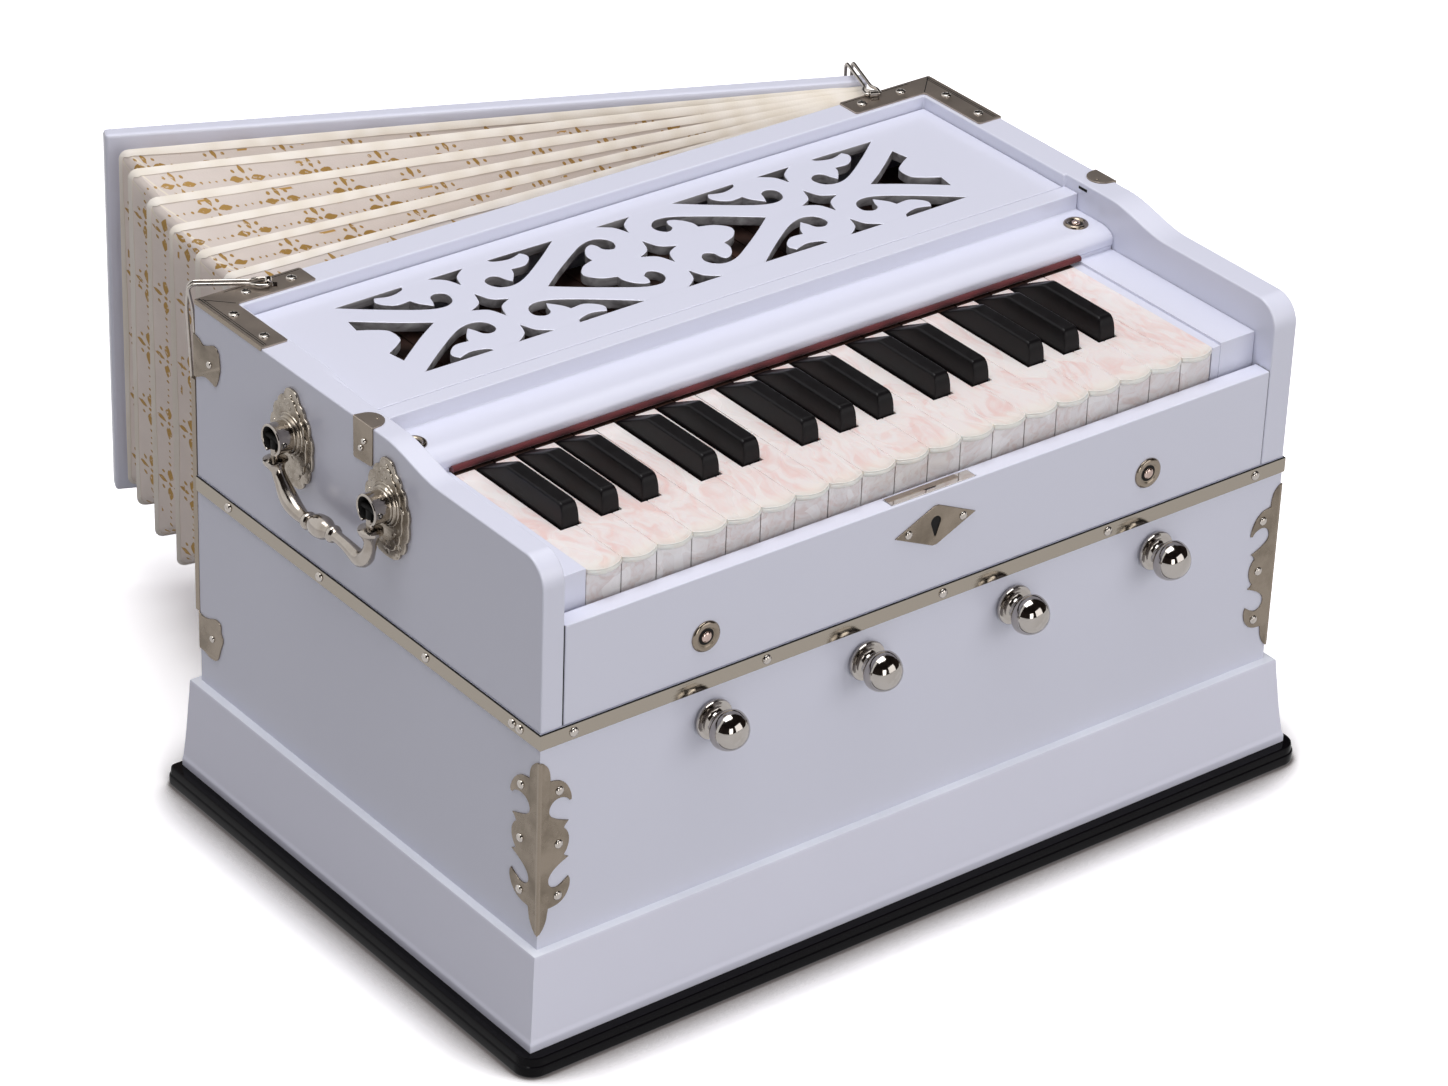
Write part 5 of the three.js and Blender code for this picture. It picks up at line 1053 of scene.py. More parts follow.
def cap_ring(y, rise, centre, tuck=0.0):
    """One slice across a sharp's cap: sloping sides and rounded shoulders, rise above the white keys."""
    full, seat = 15.5, 278.0
    height = rise + 2.0
    base = 5.7 - tuck
    top = base - 0.8 * height / full
    edge = min(1.5, height / 2)
    half = [(base, 0.0), (base - 0.8 * (height - edge) / full, height - edge)]
    for i in range(1, 5):
        angle = math.pi / 2 * i / 4
        half.append((top - edge + edge * math.cos(angle), height - edge + edge * math.sin(angle)))
    right = [(centre + x, y, seat + z) for x, z in half]
    return right + [(2 * centre - x, y, z) for x, y, z in reversed(right)]


CAP_FRONT, CAP_RISE = -107.5, 13.5
nose = [(0.0, 0.06, 0.5), (0.02, 0.3, 0.25), (0.08, 0.5, 0.1), (0.2, 0.72, 0.0), (0.38, 0.88, 0.0),
        (0.62, 0.97, 0.0), (1.0, 1.0, 0.0)]
cap_slope = [(-57.5, CAP_RISE), (-55.8, 13.3), (-54.2, 12.7), (-31.0, 0.4)]
for number, (x0, x1) in enumerate(key_plan["sharp"], 1):
    centre, half = (x0 + x1) / 2, (x1 - x0 - 0.9) / 2
    bm = bmesh.new()
    rings = [cap_ring(CAP_FRONT + along * 5.5, up * CAP_RISE, centre, tuck) for along, up, tuck in nose]
    rings += [cap_ring(y, rise, centre) for y, rise in cap_slope]
    skin(bm, rings, "capped", 1)
    box_into(bm, (centre - half, centre + half), (-107.0, TAIL_FRONT), (LEVER_Z, 278.2), 2)
    key_tail(bm, centre - half, centre + half, -30.6)
    made_up(f"sharp_key_{number}_dressed", bm, 40, (key_wood, ebony, dark_wood, green_felt),
            f"sharp_key_{number}", "key_ebony", f"sharp_key_{number}")

# Reed board and reservoir: plain joinery inside the case, seen through the pierced lid and from below.
# The CAD solids have their real shape, so they only get their woods.
for inner_node, inner_wood in (("reed_board", key_wood), ("reservoir", dark_wood)):
    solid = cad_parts[inner_node]
    solid.data.materials.clear()
    solid.data.materials.append(inner_wood)

# Stop knobs: turned and polished nickel, a mushroom head on a short neck, with a loose collar on the rod.
# Each rod slides in its own hole in the front wall.
knob_profile = [(3.5, 0.0), (3.5, 33.0), (3.6, 35.6), (10.9, 35.7), (11.6, 36.2), (11.8, 36.9),
                (11.8, 37.6), (11.4, 38.3), (10.4, 38.5), (8.4, 38.1), (7.4, 38.0), (6.4, 38.4),
                (5.6, 39.4), (5.0, 41.0), (4.9, 42.8), (5.3, 44.2), (7.2, 44.8), (9.4, 45.6), (10.9, 46.9),
                (11.7, 48.6), (11.8, 50.3), (11.4, 52.5), (10.5, 54.7), (9.1, 56.8), (7.3, 58.6),
                (5.0, 59.8), (2.5, 60.4), (0.05, 60.5)]
KNOB_MIDDLE, KNOB_PITCH, KNOB_Z = 7.0, 104.0, 173.3
for number in range(1, 5):
    knob_x = KNOB_MIDDLE + (number - 2.5) * KNOB_PITCH
    bm = bmesh.new()
    turned(bm, knob_profile, (knob_x, FRONT_Y + 34.0, KNOB_Z), FRONT, 48)
    made_up(f"stop_knob_{number}_dressed", bm, 40, (turned_nickel,), f"stop_knob_{number}", "knob_nickel",
            f"stop_knob_{number}")

# Front corner plates: sheet nickel cut as a leafy scroll and folded round each front corner of the lower
# case, with three round rivets to a face. The outline runs from the top of the fold to its foot, and each
# of its places is (in from the corner, height).
leaf_runs = [
    [(0, 184.4), (2.0, 183.8), (3.8, 182.0), (5.4, 179.4), (6.3, 176.0), (6.6, 171.0)],
    [(6.6, 171.0), (9.0, 170.7), (12.4, 169.5), (15.4, 166.8), (17.6, 163.0), (19.0, 158.6), (19.2, 155.4)],
    [(19.2, 155.4), (18.0, 155.2)],
    [(18.0, 155.2), (16.4, 157.3), (13.6, 158.7), (10.6, 158.7), (8.0, 157.2), (6.5, 154.6), (6.2, 151.6),
     (7.6, 148.8), (10.6, 146.4), (14.0, 144.6), (17.7, 143.0)],
    [(17.7, 143.0), (16.0, 141.2), (15.0, 139.2)],
    [(15.0, 139.2), (16.8, 136.8), (18.0, 133.0), (17.9, 128.8), (16.7, 125.0), (15.2, 122.6)],
    [(15.2, 122.6), (16.2, 121.3), (18.0, 120.2)],
    [(18.0, 120.2), (14.0, 118.2), (10.4, 115.8), (7.8, 113.2), (6.4, 110.2), (6.7, 106.8), (8.8, 104.2),
     (11.8, 103.7), (14.8, 105.2), (18.2, 107.8)],
    [(18.2, 107.8), (19.0, 105.6), (18.9, 101.8), (17.4, 97.4), (14.6, 93.9), (10.8, 92.1), (6.4, 91.6)],
    [(6.4, 91.6), (6.0, 89.2), (5.4, 85.0), (3.8, 80.6), (1.8, 77.6), (0, 76.6)],
]
leaf = [point for run in leaf_runs for point in smooth_run(run, 4)] + [(0, 76.6)]


@contextlib.contextmanager
def joined(piece, other, outwards=True):
    """Opens a piece after taking in another, which is then gone."""
    with opened(piece.data, outwards) as bm:
        bm.from_mesh(other.data)
        yield bm
    bpy.data.objects.remove(other)


for word, side in (("left", -1), ("right", 1)):
    leaves = []
    for name, wide, turned_over, place in (
            (f"corner_plate_{word}", 1.1, side > 0, upright(0, side * (SIDE_X + 0.8), FRONT_Y - 0.45, 0)),
            ("side_leaf", 1.33, side < 0, upright(side, side * (SIDE_X + 0.45), FRONT_Y - 0.8, 0))):
        outline = [(wide * x, z) for x, z in leaf]
        if turned_over:
            outline = [(-x, z) for x, z in reversed(outline)]
        leaves.append(cut_sheet(name, [outline], 0.9, 0.25, place, plate_nickel))
    front_leaf, side_leaf = leaves
    fold = [(side * (SIDE_X + x), FRONT_Y + y) for x, y in
            ((-1.0, -0.9), (0.2, -1.0), (0.75, -0.75), (1.0, -0.2), (0.9, 1.0), (0, 0))]
    with joined(front_leaf, side_leaf) as bm:
        skin(bm, [[(x, y, z) for x, y in fold] for z in (77.2, 183.8)])
    fit(front_leaf, "case", "nickel")
    heads = []
    for z in (163.6, 130.4, 98.0):
        heads.append((side * (SIDE_X - 12.2), FRONT_Y - 0.9, z, FRONT))
        heads.append((side * (SIDE_X + 0.9), FRONT_Y + 15.4, z, (side, 0, 0)))
    rivets(f"corner_plate_rivets_{word}", heads, 2.7, 1.6, rivet_nickel)

# Side clips and rear ears: small folded plates of nickel that tie the upper case's joints, with round nails.
# The ears' outlines run from the foot of the fold to its top: (in from the corner, height).
high_ear = [(0, 264.5), (3.8, 265.4), (11.1, 268.7), (18.1, 268.1), (22.6, 267.7), (26.5, 277.5),
            (26.7, 283.7), (25.3, 290.0), (20.9, 292.0), (13.7, 289.1), (9.6, 287.9), (5.1, 290.3),
            (0, 291.2)]
low_ear = [(0, 89.1), (5.2, 89.3), (11.4, 87.8), (18.8, 89.6), (22.2, 97.9), (25.0, 105.3), (23.0, 109.6),
           (22.7, 114.7), (17.5, 116.0), (10.0, 113.0), (3.8, 111.8), (0, 113.1)]
clip_face = [(-8.8, -11.5), (-7.6, -12.4), (7.6, -11.2), (8.8, -10.0), (9.0, 12.2), (-9.0, 12.2)]
tongue_face = [(0, -9.0), (1.2, -9.0)] + arc(3.6, -0.2, 8.6, -75, 80, 12) + [(1.2, 9.0), (0, 9.0)]
back_leaf = [(0, -12), (11, -10.5), (12.4, -8), (12.4, 8), (11, 10.5), (0, 12)]
for word, side in (("left", -1), ("right", 1)):
    face_x, outward = side * (SIDE_X + 0.4), (side, 0, 0)
    clip_y = 2.0 * side
    clip = cut_sheet(f"side_clip_{word}", [clip_face], 0.8, 0.2, upright(side, face_x, clip_y, 299.4),
                     plate_nickel)
    tongue_place = plane_at((side * (SIDE_X + 0.6), clip_y, TOP_Z + 0.4), (-side, 0, 0), (0, -side, 0))
    with joined(clip, cut_sheet("tongue", [tongue_face], 0.8, 0.2, tongue_place, plate_nickel), False):
        pass
    # The clip's upward faces take the lighter, rougher browned nickel: a painted lighter top.
    clip.data.materials.append(brown_nickel)
    for face in clip.data.polygons:
        face.material_index = 1 if face.normal.z > 0.5 else 0
    fit(clip, "case", "nickel")
    nails = [(face_x + side * 0.4, clip_y - 1.4, 300.6, outward),
             (face_x + side * 0.4, clip_y + 1.6, 295.4, outward)]
    rivets(f"side_clip_nails_{word}", nails, 1.9, 1.7, rivet_nickel)
    pin = (side * (SIDE_X - 7.6), clip_y - 1.4, TOP_Z + 0.7, UP)
    rivets(f"side_clip_pin_{word}", [pin], 0.8, 0.4, plate_nickel)
    for name, z, ear_run, nail in ((f"rear_ear_{word}_high", 278.0, high_ear, (15.7, 278.5)),
                                   (f"rear_ear_{word}_low", 101.0, low_ear, (13.5, 101.7))):
        ear_face = [(a - 0.6, up) for a, up in smooth_run(ear_run, 4) + [ear_run[-1]]]
        if side > 0:
            ear_face = [(-a, up) for a, up in reversed(ear_face)]
        ear = cut_sheet(name, [ear_face], 0.8, 0.2, upright(side, face_x, REAR_Y, 0), plate_nickel)
        back_face = [(x * -side, y) for x, y in back_leaf]
        back = cut_sheet("back_leaf", [back_face], 0.8, 0.2, upright(0, side * SIDE_X, REAR_Y + 0.4, z),
                         plate_nickel)
        with joined(ear, back):
            pass
        fit(ear, "case", "nickel")
        head = (side * (SIDE_X + 0.8), REAR_Y - nail[0], nail[1], outward)
        rivets(name + "_nail", [head], 2.2, 1.4, rivet_nickel)

corner_strip = box_rings((-SIDE_X - 0.3, -SIDE_X + 4.0), (REAR_Y, REAR_Y + 4.2), (113.0, 262.0))
fit(drawn_out("rear_corner_strip", corner_strip, plate_nickel), "case", "nickel")

# Rear corner brackets: an L of worn nickel on each rear top corner, with four cross-headed screws.
# Each carries the staple that a wire latch swings in.
screw_head = [(3.1, -0.2), (3.1, 0.3), (2.8, 0.75), (2.2, 1.05), (1.2, 1.2), (0.05, 1.24)]
eyes = {"left": (-217.0, 155.0), "right": (213.3, 158.5)}
arms = {"left": Vector((-0.851, 0.525, 0)).normalized(), "right": Vector((0.354, 0.935, 0)).normalized()}
for word, side in (("left", -1), ("right", 1)):
    corner = arc(-19.5, -19.5, 2.5, 90, 0, 4)
    ell = [(0, 0), (-68, 0), (-69, -1), (-69, -16), (-68, -17)]
    ell += corner + [(-17, -67), (-16, -68), (-1, -68), (0, -67)]
    bracket = cut_sheet(f"top_bracket_{word}_dressed", [[(x * side, y) for x, y in ell]], 1.0, 0.3,
                        lying(side * SIDE_X, REAR_Y, TOP_Z + 0.5), brown_nickel, wire_nickel, shadow_paint,
                        plate_nickel)
    arm = arms[word]
    axis = Vector((-arm.y * side, arm.x * side, 0))
    eye = Vector((*eyes[word], TOP_Z + 3))
    shapes = []
    # Thin strips in the black paint lie along the arms and the mitre: the shade of engraved lines, painted
    # on.
    for (a0, b0), (a1, b1), half in (((2.6, 1.2), (2.6, 66), 0.3), ((4.0, 3.0), (4.0, 66), 0.25),
                                     ((1.5, 1.5), (16.6, 16.6), 0.3), ((18, 2.2), (67, 2.2), 0.25)):
        run = Vector((a1 - a0, b1 - b0, 0)).normalized()
        wide = Vector((-run.y, run.x, 0)) * half
        start, end = Vector((a0, b0, 0)), Vector((a1, b1, 0))
        line = [start - wide, end - wide, end + wide, start + wide]
        shapes.append(([[(side * (SIDE_X - p.x), REAR_Y - p.y, TOP_Z + h) for p in line]
                        for h in (0.9, 1.03)], 2))
    lip = [(side * (SIDE_X + x), TOP_Z + z)
           for x, z in ((0.35, -1.3), (0.35, 0.9), (-0.3, 1.15), (-0.3, -1.3))]
    shapes.append(([[(x, REAR_Y - y, z) for x, z in lip] for y in (1.0, 67.4)], 3))
    hoop = [math.radians(-35 + 250 * i / 14) for i in range(15)]
    strap = [(2.4 * math.cos(a), 2.4 * math.sin(a)) for a in hoop]
    strap += [(1.55 * math.cos(a), 1.55 * math.sin(a)) for a in reversed(hoop)]
    rings = []
    for along in (-2.5, -2.2, 2.2, 2.5):
        grow = 0.9 if abs(along) > 2.3 else 1.0
        ring = [eye + arm * a * grow + axis * along + Vector((0, 0, up * grow)) for a, up in strap]
        for point in ring:
            point.z = max(point.z, TOP_Z + 0.9)
        rings.append(ring)
    shapes.append((rings, 1))
    staple_foot = ((1.3, 0.8), (4.6, 0.8), (4.9, 1.3), (2.5, 1.6), (1.9, 2.4), (1.3, 2.4))
    for foot_side in (-1, 1):
        shapes.append(([[Vector((eye.x, eye.y, TOP_Z)) + arm * (a * foot_side) + axis * along
                         + Vector((0, 0, up)) for a, up in staple_foot] for along in (-2.5, 2.5)], 1))
    with opened(bracket.data) as bm:
        for rings, material in shapes:
            skin(bm, rings, "capped", material)
    soften(bracket.data, 30)
    fit(bracket, "case", "nickel", f"top_bracket_{word}")
    screw_places = [(side * (SIDE_X - share * 69), REAR_Y - 8.5) for share in (0.41, 0.84)]
    screw_places += [(side * (SIDE_X - 8.5), REAR_Y - share * 68) for share in (0.4, 0.84)]
    bm = bmesh.new()
    for i, (x, y) in enumerate(screw_places):
        turned(bm, screw_head, (x, y, TOP_Z + 1), UP, 24)
        # Each screw's cross slot is a black box: painted shade.
        for quarter in (0, 1):
            angle = math.radians(20 + 35 * i + 90 * quarter)
            ax, ay = math.cos(angle), math.sin(angle)
            slot = [(x + ax * a - ay * b, y + ay * a + ax * b) for a, b in
                    ((-1.9, -0.28), (1.9, -0.28), (1.9, 0.28), (-1.9, 0.28))]
            skin(bm, [[(sx, sy, TOP_Z + h) for sx, sy in slot] for h in (1.6, 2.26)], "capped", 1)
    made_up(f"bracket_screws_{word}", bm, 50, (rivet_nickel, shadow_paint), "case", "nickel")

# Wire latches: a hairpin of nickelled wire that swings in its staple. Its loop hangs over the bellows board.
# Geometry Nodes sweep the wire's round section along its path.


def wire_tree():
    tree, given, made = node_group("bent_wire", "GeometryNodeTree",
                                   (("Geometry", "Geometry"), ("Wire Radius", "Float", 0.0011),
                                    ("Metal", "Material")), (("Geometry", "Geometry"),))
    path = node(tree, "GeometryNodeMeshToCurve", {"Mesh": given["Geometry"]})
    section = node(tree, "GeometryNodeCurvePrimitiveCircle",
                   {"Resolution": 16, "Radius": given["Wire Radius"]})
    swept = node(tree, "GeometryNodeCurveToMesh",
                 {"Curve": path, "Profile Curve": section, "Fill Caps": True})
    smooth = node(tree, "GeometryNodeSetShadeSmooth", {"Geometry": swept})
    metal = node(tree, "GeometryNodeSetMaterial", {"Geometry": smooth, "Material": given["Metal"]})
    feed(made, {"Geometry": metal})
    return tree


bent_wire = wire_tree()
wire_run = [(0, 0.6, 0), (0, 2.0, 0), (0, 3.3, 0), (0.35, 4.1, 0), (1.1, 4.4, 0), (5.5, 4.4, 0),
            (8.2, 3.4, 0), (11.0, 2.1, 0), (20, 2.0, 0), (32, 2.0, 0), (40.0, 2.0, 0), (42.0, 2.0, 0.6),
            (43.2, 2.0, 1.8), (43.8, 2.0, 4.0), (43.8, 2.0, 20), (43.8, 2.0, 41.0), (43.8, 2.0, 62),
            (43.8, 2.0, 72.0), (43.8, 2.5, 76.0), (43.8, 2.1, 79.0), (43.8, 1.2, 81.2)]
for word, side in (("left", -1), ("right", 1)):
    arm, eye = arms[word], Vector((*eyes[word], TOP_Z + 3))
    axis = Vector((-arm.y * side, arm.x * side, 0))
    hairpin = wire_run + [(43.8, 0, 82.0)] + [(a, -c, d) for a, c, d in reversed(wire_run)]
    lean, longer = (0.048, 0.0) if side < 0 else (0.0, 2.6)
    hairpin = [(a + longer * min(max((a - 20) / 12, 0), 1) - max(d - 4, 0) * lean, c, d)
               for a, c, d in hairpin]
    mesh = bpy.data.meshes.new(f"latch_{word}_dressed")
    points = []
    for a, c, d in smooth_run(hairpin, 4) + [hairpin[-1]]:
        turn = math.radians(52 if side < 0 else 0) * min(max(d - 3, 0) / 12, 1)
        across = axis * (c * math.cos(turn))
        points.append((eye + arm * (a + c * math.sin(turn)) + across - Vector((0, 0, d))) * MM)
    mesh.from_pydata(points, [(i, i + 1) for i in range(len(points) - 1)], [])
    latch = add_object(f"latch_{word}_dressed", mesh)
    run_tree(latch, bent_wire, {"Wire Radius": 1.05 * MM, "Metal": wire_nickel})
    soften(latch.data, 60)
    fit(latch, f"latch_{word}", "nickel", f"latch_{word}")

# Handle sockets: cast nickel plates with a scalloped edge, scrolls and pits, and a turned barrel.
# The barrel is slotted below, so that the bail's shank can swing in it.
socket_shares = [(0, 1), (0.16, 0.985), (0.27, 0.93), (0.33, 0.84), (0.36, 0.79), (0.5, 0.75), (0.61, 0.67),
                 (0.63, 0.58), (0.77, 0.52), (0.85, 0.39), (0.85, 0.29), (0.96, 0.2), (1.0, 0.04),
                 (0.96, -0.1), (0.99, -0.25), (0.94, -0.41), (0.84, -0.48), (0.84, -0.61), (0.75, -0.73),
                 (0.61, -0.76), (0.54, -0.89), (0.35, -0.97), (0.17, -0.99), (0, -1)]
cast_nickel = nickel("cast_nickel", (0.42, 0.375, 0.32), (0.19, 0.155, 0.115), 0.8, 0.2, 120.0, 0.2)
pitted = cast_nickel.node_tree
pits = node(pitted, "TexVoronoi", {"Vector": object_place(pitted), "Scale": 190.0})
feed(pitted.nodes["Principled BSDF"],
     {"Normal": bumped(pitted, ranged(pitted, pits, 0.0, 0.35), 0.55, 0.0006, Normal=pitted.nodes["Bump"])})


def scroll(bm, centre, radius, wire, start, turns, side):
    """A raised spiral on the plate: a half-round wire that winds in to a boss."""
    steps = int(26 * turns)
    rings = []
    for i in range(steps + 1):
        share = i / steps
        angle = math.radians(start) + side * 2 * math.pi * turns * share
        reach = radius * (1 - 0.8 * share)
        thick = wire * (1 - 0.35 * share)
        out = Vector((0, math.cos(angle), math.sin(angle)))
        middle = Vector((2.0, centre[0], centre[1])) + out * reach
        rings.append([middle + out * (thick * math.cos(a)) + Vector((thick * math.sin(a), 0, 0))
                      for a in [2 * math.pi * k / 8 for k in range(8)]])
    skin(bm, rings, "capped")
    boss = [(wire * 1.2, 1.6), (wire * 1.2, 2.4), (wire * 0.8, 3.1), (0.05, 3.4)]
    turned(bm, boss, (0, *centre), RIGHT, 14)


BARREL_X = 15.2


def socket_mesh():
    """A socket at the origin: x stands out from the case, y along it, z up, and its pivot is on z = 0."""
    right = [(y * 20.5, z * 29.5 - 2.5) for y, z in socket_shares]
    corners = (0, 4, 7, 10, 13, 16, 19, 23)
    half = []
    for a, b in zip(corners, corners[1:]):
        half += smooth_run(right[a:b + 1], 4)
    outline = half + [right[-1]] + [(-y, z) for y, z in reversed(half[1:])]
    plate = cut_sheet("socket_plate", [outline], 2.0, 0.6, upright(1, 1.0, 0, 0), cast_nickel)
    inner = [(y * 0.76, (z + 2.5) * 0.82 - 2.5) for y, z in outline]
    raised = cut_sheet("socket_raised", [inner], 1.6, 0.6, upright(1, 2.0, 0, 0), cast_nickel)
    bm = bmesh.new()
    for sheet in (plate, raised):
        bm.from_mesh(sheet.data)
        bpy.data.objects.remove(sheet)
    scroll(bm, (0.5, 15.5), 3.6, 1.0, 90, 1.4, 1)
    for side in (1, -1):
        scroll(bm, (8.6 * side, 6.5), 2.6, 0.8, 90 + 110 * side, 1.2, -side)
    for side in (1, -1):
        scroll(bm, (9.4 * side, -13.5), 2.8, 0.8, 90 + 60 * side, 1.2, -side)
    for y, z, r in ((0, 22.4, 1.4), (4.6, 19.0, 1.0), (-4.6, 19.0, 1.0), (15.6, 1.6, 1.2),
                    (-15.6, 1.6, 1.2), (0, -26, 1.6), (12.5, -5.0, 1.0), (-12.5, -5.0, 1.0),
                    (4.8, -22.5, 1.1), (-4.8, -22.5, 1.1)):
        turned(bm, [(r, 1.0), (r, 2.1), (r * 0.7, 2.7), (0.05, 2.95)], (0, y, z), RIGHT, 12)
    turned(bm, [(12.8, 1.5), (12.8, 2.8), (12.3, 3.4), (11.3, 3.5), (11.0, 4.3), (10.5, 4.9), (9.5, 5.0),
                (9.2, 5.6), (8.6, 5.6), (8.0, 3.0)], (0, 0, 0), RIGHT, 40)
    slotted = [math.radians(-90 + 26.5 + (360 - 53) * i / 36) for i in range(37)]
    full = [math.radians(-90 + 360 * i / 48) for i in range(48)]

    def barrel(angles, x0, x1, ends, rim):
        profile = [(7.5, x0), (9.0, x0), *rim, (7.5, x1 if ends == "joined" else x1 - 0.5)]
        rings = [[(x, r * math.cos(angle), r * math.sin(angle)) for r, x in profile] for angle in angles]
        skin(bm, rings, ends, 1)

    barrel(full, 2.0, 8.2, "joined", ((9.0, 8.2),))
    mouth = ((9.0, BARREL_X - 1.6), (9.2, 14.0), (9.2, BARREL_X - 0.4), (8.8, BARREL_X), (7.9, BARREL_X))
    barrel(slotted, 8.0, BARREL_X, "capped", mouth)
    mesh = finished("socket", bm)
    # Faces inside the barrel's bore take the black paint: painted shade.
    for face in mesh.polygons:
        x, y, z = face.center / MM
        if math.hypot(y, z) < 7.9 and 3 < x < 14.8:
            face.material_index = 2
    return mesh


BAIL_OUT, BAIL_Z, REAR_SOCKET_Y, FRONT_SOCKET_Y = 12, 274.0, 65.0, -26.0
socket_shape = socket_mesh()
for word, side in (("left", -1), ("right", 1)):
    for end, y in (("rear", REAR_SOCKET_Y), ("front", FRONT_SOCKET_Y)):
        mesh = socket_shape.copy()
        turn = Matrix.Rotation(math.pi if side < 0 else 0, 4, "Z")
        mesh.transform(Matrix.Translation(Vector((side * SIDE_X, y, BAIL_Z)) * MM) @ turn)
        name = f"handle_socket_{word}_{end}"
        soften(mesh, 40)
        fit(add_object(name + "_dressed", mesh, cast_nickel, bail_nickel, shadow_paint), "case", "nickel",
            name)
        pins = [(side * (SIDE_X + BAIL_OUT), y + s * 9.0, BAIL_Z, (0, s, 0)) for s in (-1, 1)]
        rivets(name + "_pins", pins, 1.6, 0.7, rivet_nickel)

# Carrying handles: cast and polished bails with collars and a bulb, hung on cross pins in their sockets.
# Each station is a place along and down the bail, and its thickness.
SPAN, DROP, THICK = 91, 36.5, 6.6
bail_end = [(0, 0, 0.38), (0, 0.15, 0.38), (0, 0.3, 0.38), (0, 0.312, 0.72), (0, 0.33, 1.04),
            (0.001, 0.36, 1.08), (0.004, 0.4, 0.98)]
bail_rear = [(0.014, 0.45, 0.72), (0.027, 0.5, 0.57), (0.045, 0.57, 0.58), (0.07, 0.64, 0.62),
             (0.095, 0.72, 0.7), (0.12, 0.79, 0.76), (0.15, 0.85, 0.8), (0.18, 0.9, 0.78),
             (0.22, 0.94, 0.72), (0.26, 0.965, 0.64), (0.3, 0.975, 0.57), (0.325, 0.976, 0.54),
             (0.335, 0.975, 0.72), (0.352, 0.97, 0.79), (0.368, 0.964, 0.72), (0.378, 0.96, 0.56),
             (0.395, 0.952, 0.62), (0.415, 0.94, 0.8), (0.445, 0.925, 0.96), (0.475, 0.915, 1.0)]
bail_front = [(0.001, 0.48, 0.68), (0.002, 0.56, 0.54), (0.008, 0.65, 0.54), (0.02, 0.74, 0.58),
              (0.035, 0.82, 0.65), (0.055, 0.88, 0.68), (0.075, 0.92, 0.72), (0.1, 0.95, 0.72),
              (0.13, 0.95, 0.69), (0.16, 0.94, 0.64), (0.195, 0.92, 0.59), (0.23, 0.905, 0.55),
              (0.27, 0.892, 0.52), (0.31, 0.885, 0.5), (0.345, 0.881, 0.51), (0.362, 0.88, 0.54),
              (0.37, 0.88, 0.7), (0.386, 0.88, 0.78), (0.402, 0.88, 0.72), (0.412, 0.88, 0.58),
              (0.43, 0.882, 0.64), (0.455, 0.888, 0.84), (0.48, 0.897, 0.97), (0.505, 0.905, 1.0)]
for word, side in (("left", -1), ("right", 1)):
    stations = [(REAR_SOCKET_Y - a * SPAN, -d * DROP, t * THICK) for a, d, t in bail_end + bail_rear]
    stations += [(FRONT_SOCKET_Y + a * SPAN, -d * DROP, t * THICK)
                 for a, d, t in reversed(bail_end + bail_front)]
    rings = []
    for i, (y, z, r) in enumerate(stations):
        before, after = stations[max(i - 1, 0)], stations[min(i + 1, len(stations) - 1)]
        along = Vector((0, after[0] - before[0], after[1] - before[1])).normalized()
        across = Vector((0, -along.z, along.y))
        middle = Vector((side * (SIDE_X + BAIL_OUT), y, BAIL_Z + z))
        rings.append([middle + Vector((r * math.cos(a), 0, 0)) + across * (r * math.sin(a))
                      for a in [2 * math.pi * k / 24 for k in range(24)]])
    bm = bmesh.new()
    skin(bm, rings)
    for y in (REAR_SOCKET_Y, FRONT_SOCKET_Y):
        turned(bm, [(1.5, -9.6), (1.5, 9.6), (1.2, 9.8)], (side * (SIDE_X + BAIL_OUT), y, BAIL_Z), BACK, 16)
    mesh = finished(f"handle_{word}_dressed", bm)
    # The bail's top, which sits in the barrels, takes the black paint: painted shade in the bores.
    for face in mesh.polygons:
        face.material_index = 1 if face.center.z > (BAIL_Z - 8.0) * MM else 0
    soften(mesh, 50)
    bail = add_object(f"handle_{word}_dressed", mesh, bail_nickel, shadow_paint)
    fit(bail, f"handle_{word}", "nickel", f"handle_{word}")

# Bellows board: a lacquered pine board with rounded edges, drilled with two rings of inlet holes.
# Leather flaps cover the holes on the inside. Two butt hinges join it to the batten.
HINGE = Vector((238.0, 179.0, 0))
FAN = math.radians(24)
board_along = Vector((-math.cos(FAN), math.sin(FAN), 0))
board_out = Vector((math.sin(FAN), math.cos(FAN), 0))


def on_board(a, n, z):
    """A place given along the open board from its hinge, out of its inner face, and up."""
    return HINGE + board_along * a + board_out * n + Vector((0, 0, z))


def eased_slab(bm, x, y, z, ease, place, material=0):
    """A slab with all its edges rounded, each of its points put through place."""
    rings = []
    for level, inset in ((z[0], ease), (z[0] + 0.3 * ease, 0.3 * ease), (z[0] + ease, 0), (z[1] - ease, 0),
                         (z[1] - 0.3 * ease, 0.3 * ease), (z[1], ease)):
        outline = rounded_outline(x[0] + inset, x[1] - inset, y[0] + inset, y[1] - inset,
                                  max(ease - inset, 0.02) + 0.02, 3)
        rings.append([place(px, py, level) for px, py in outline])
    skin(bm, rings, "capped", material)


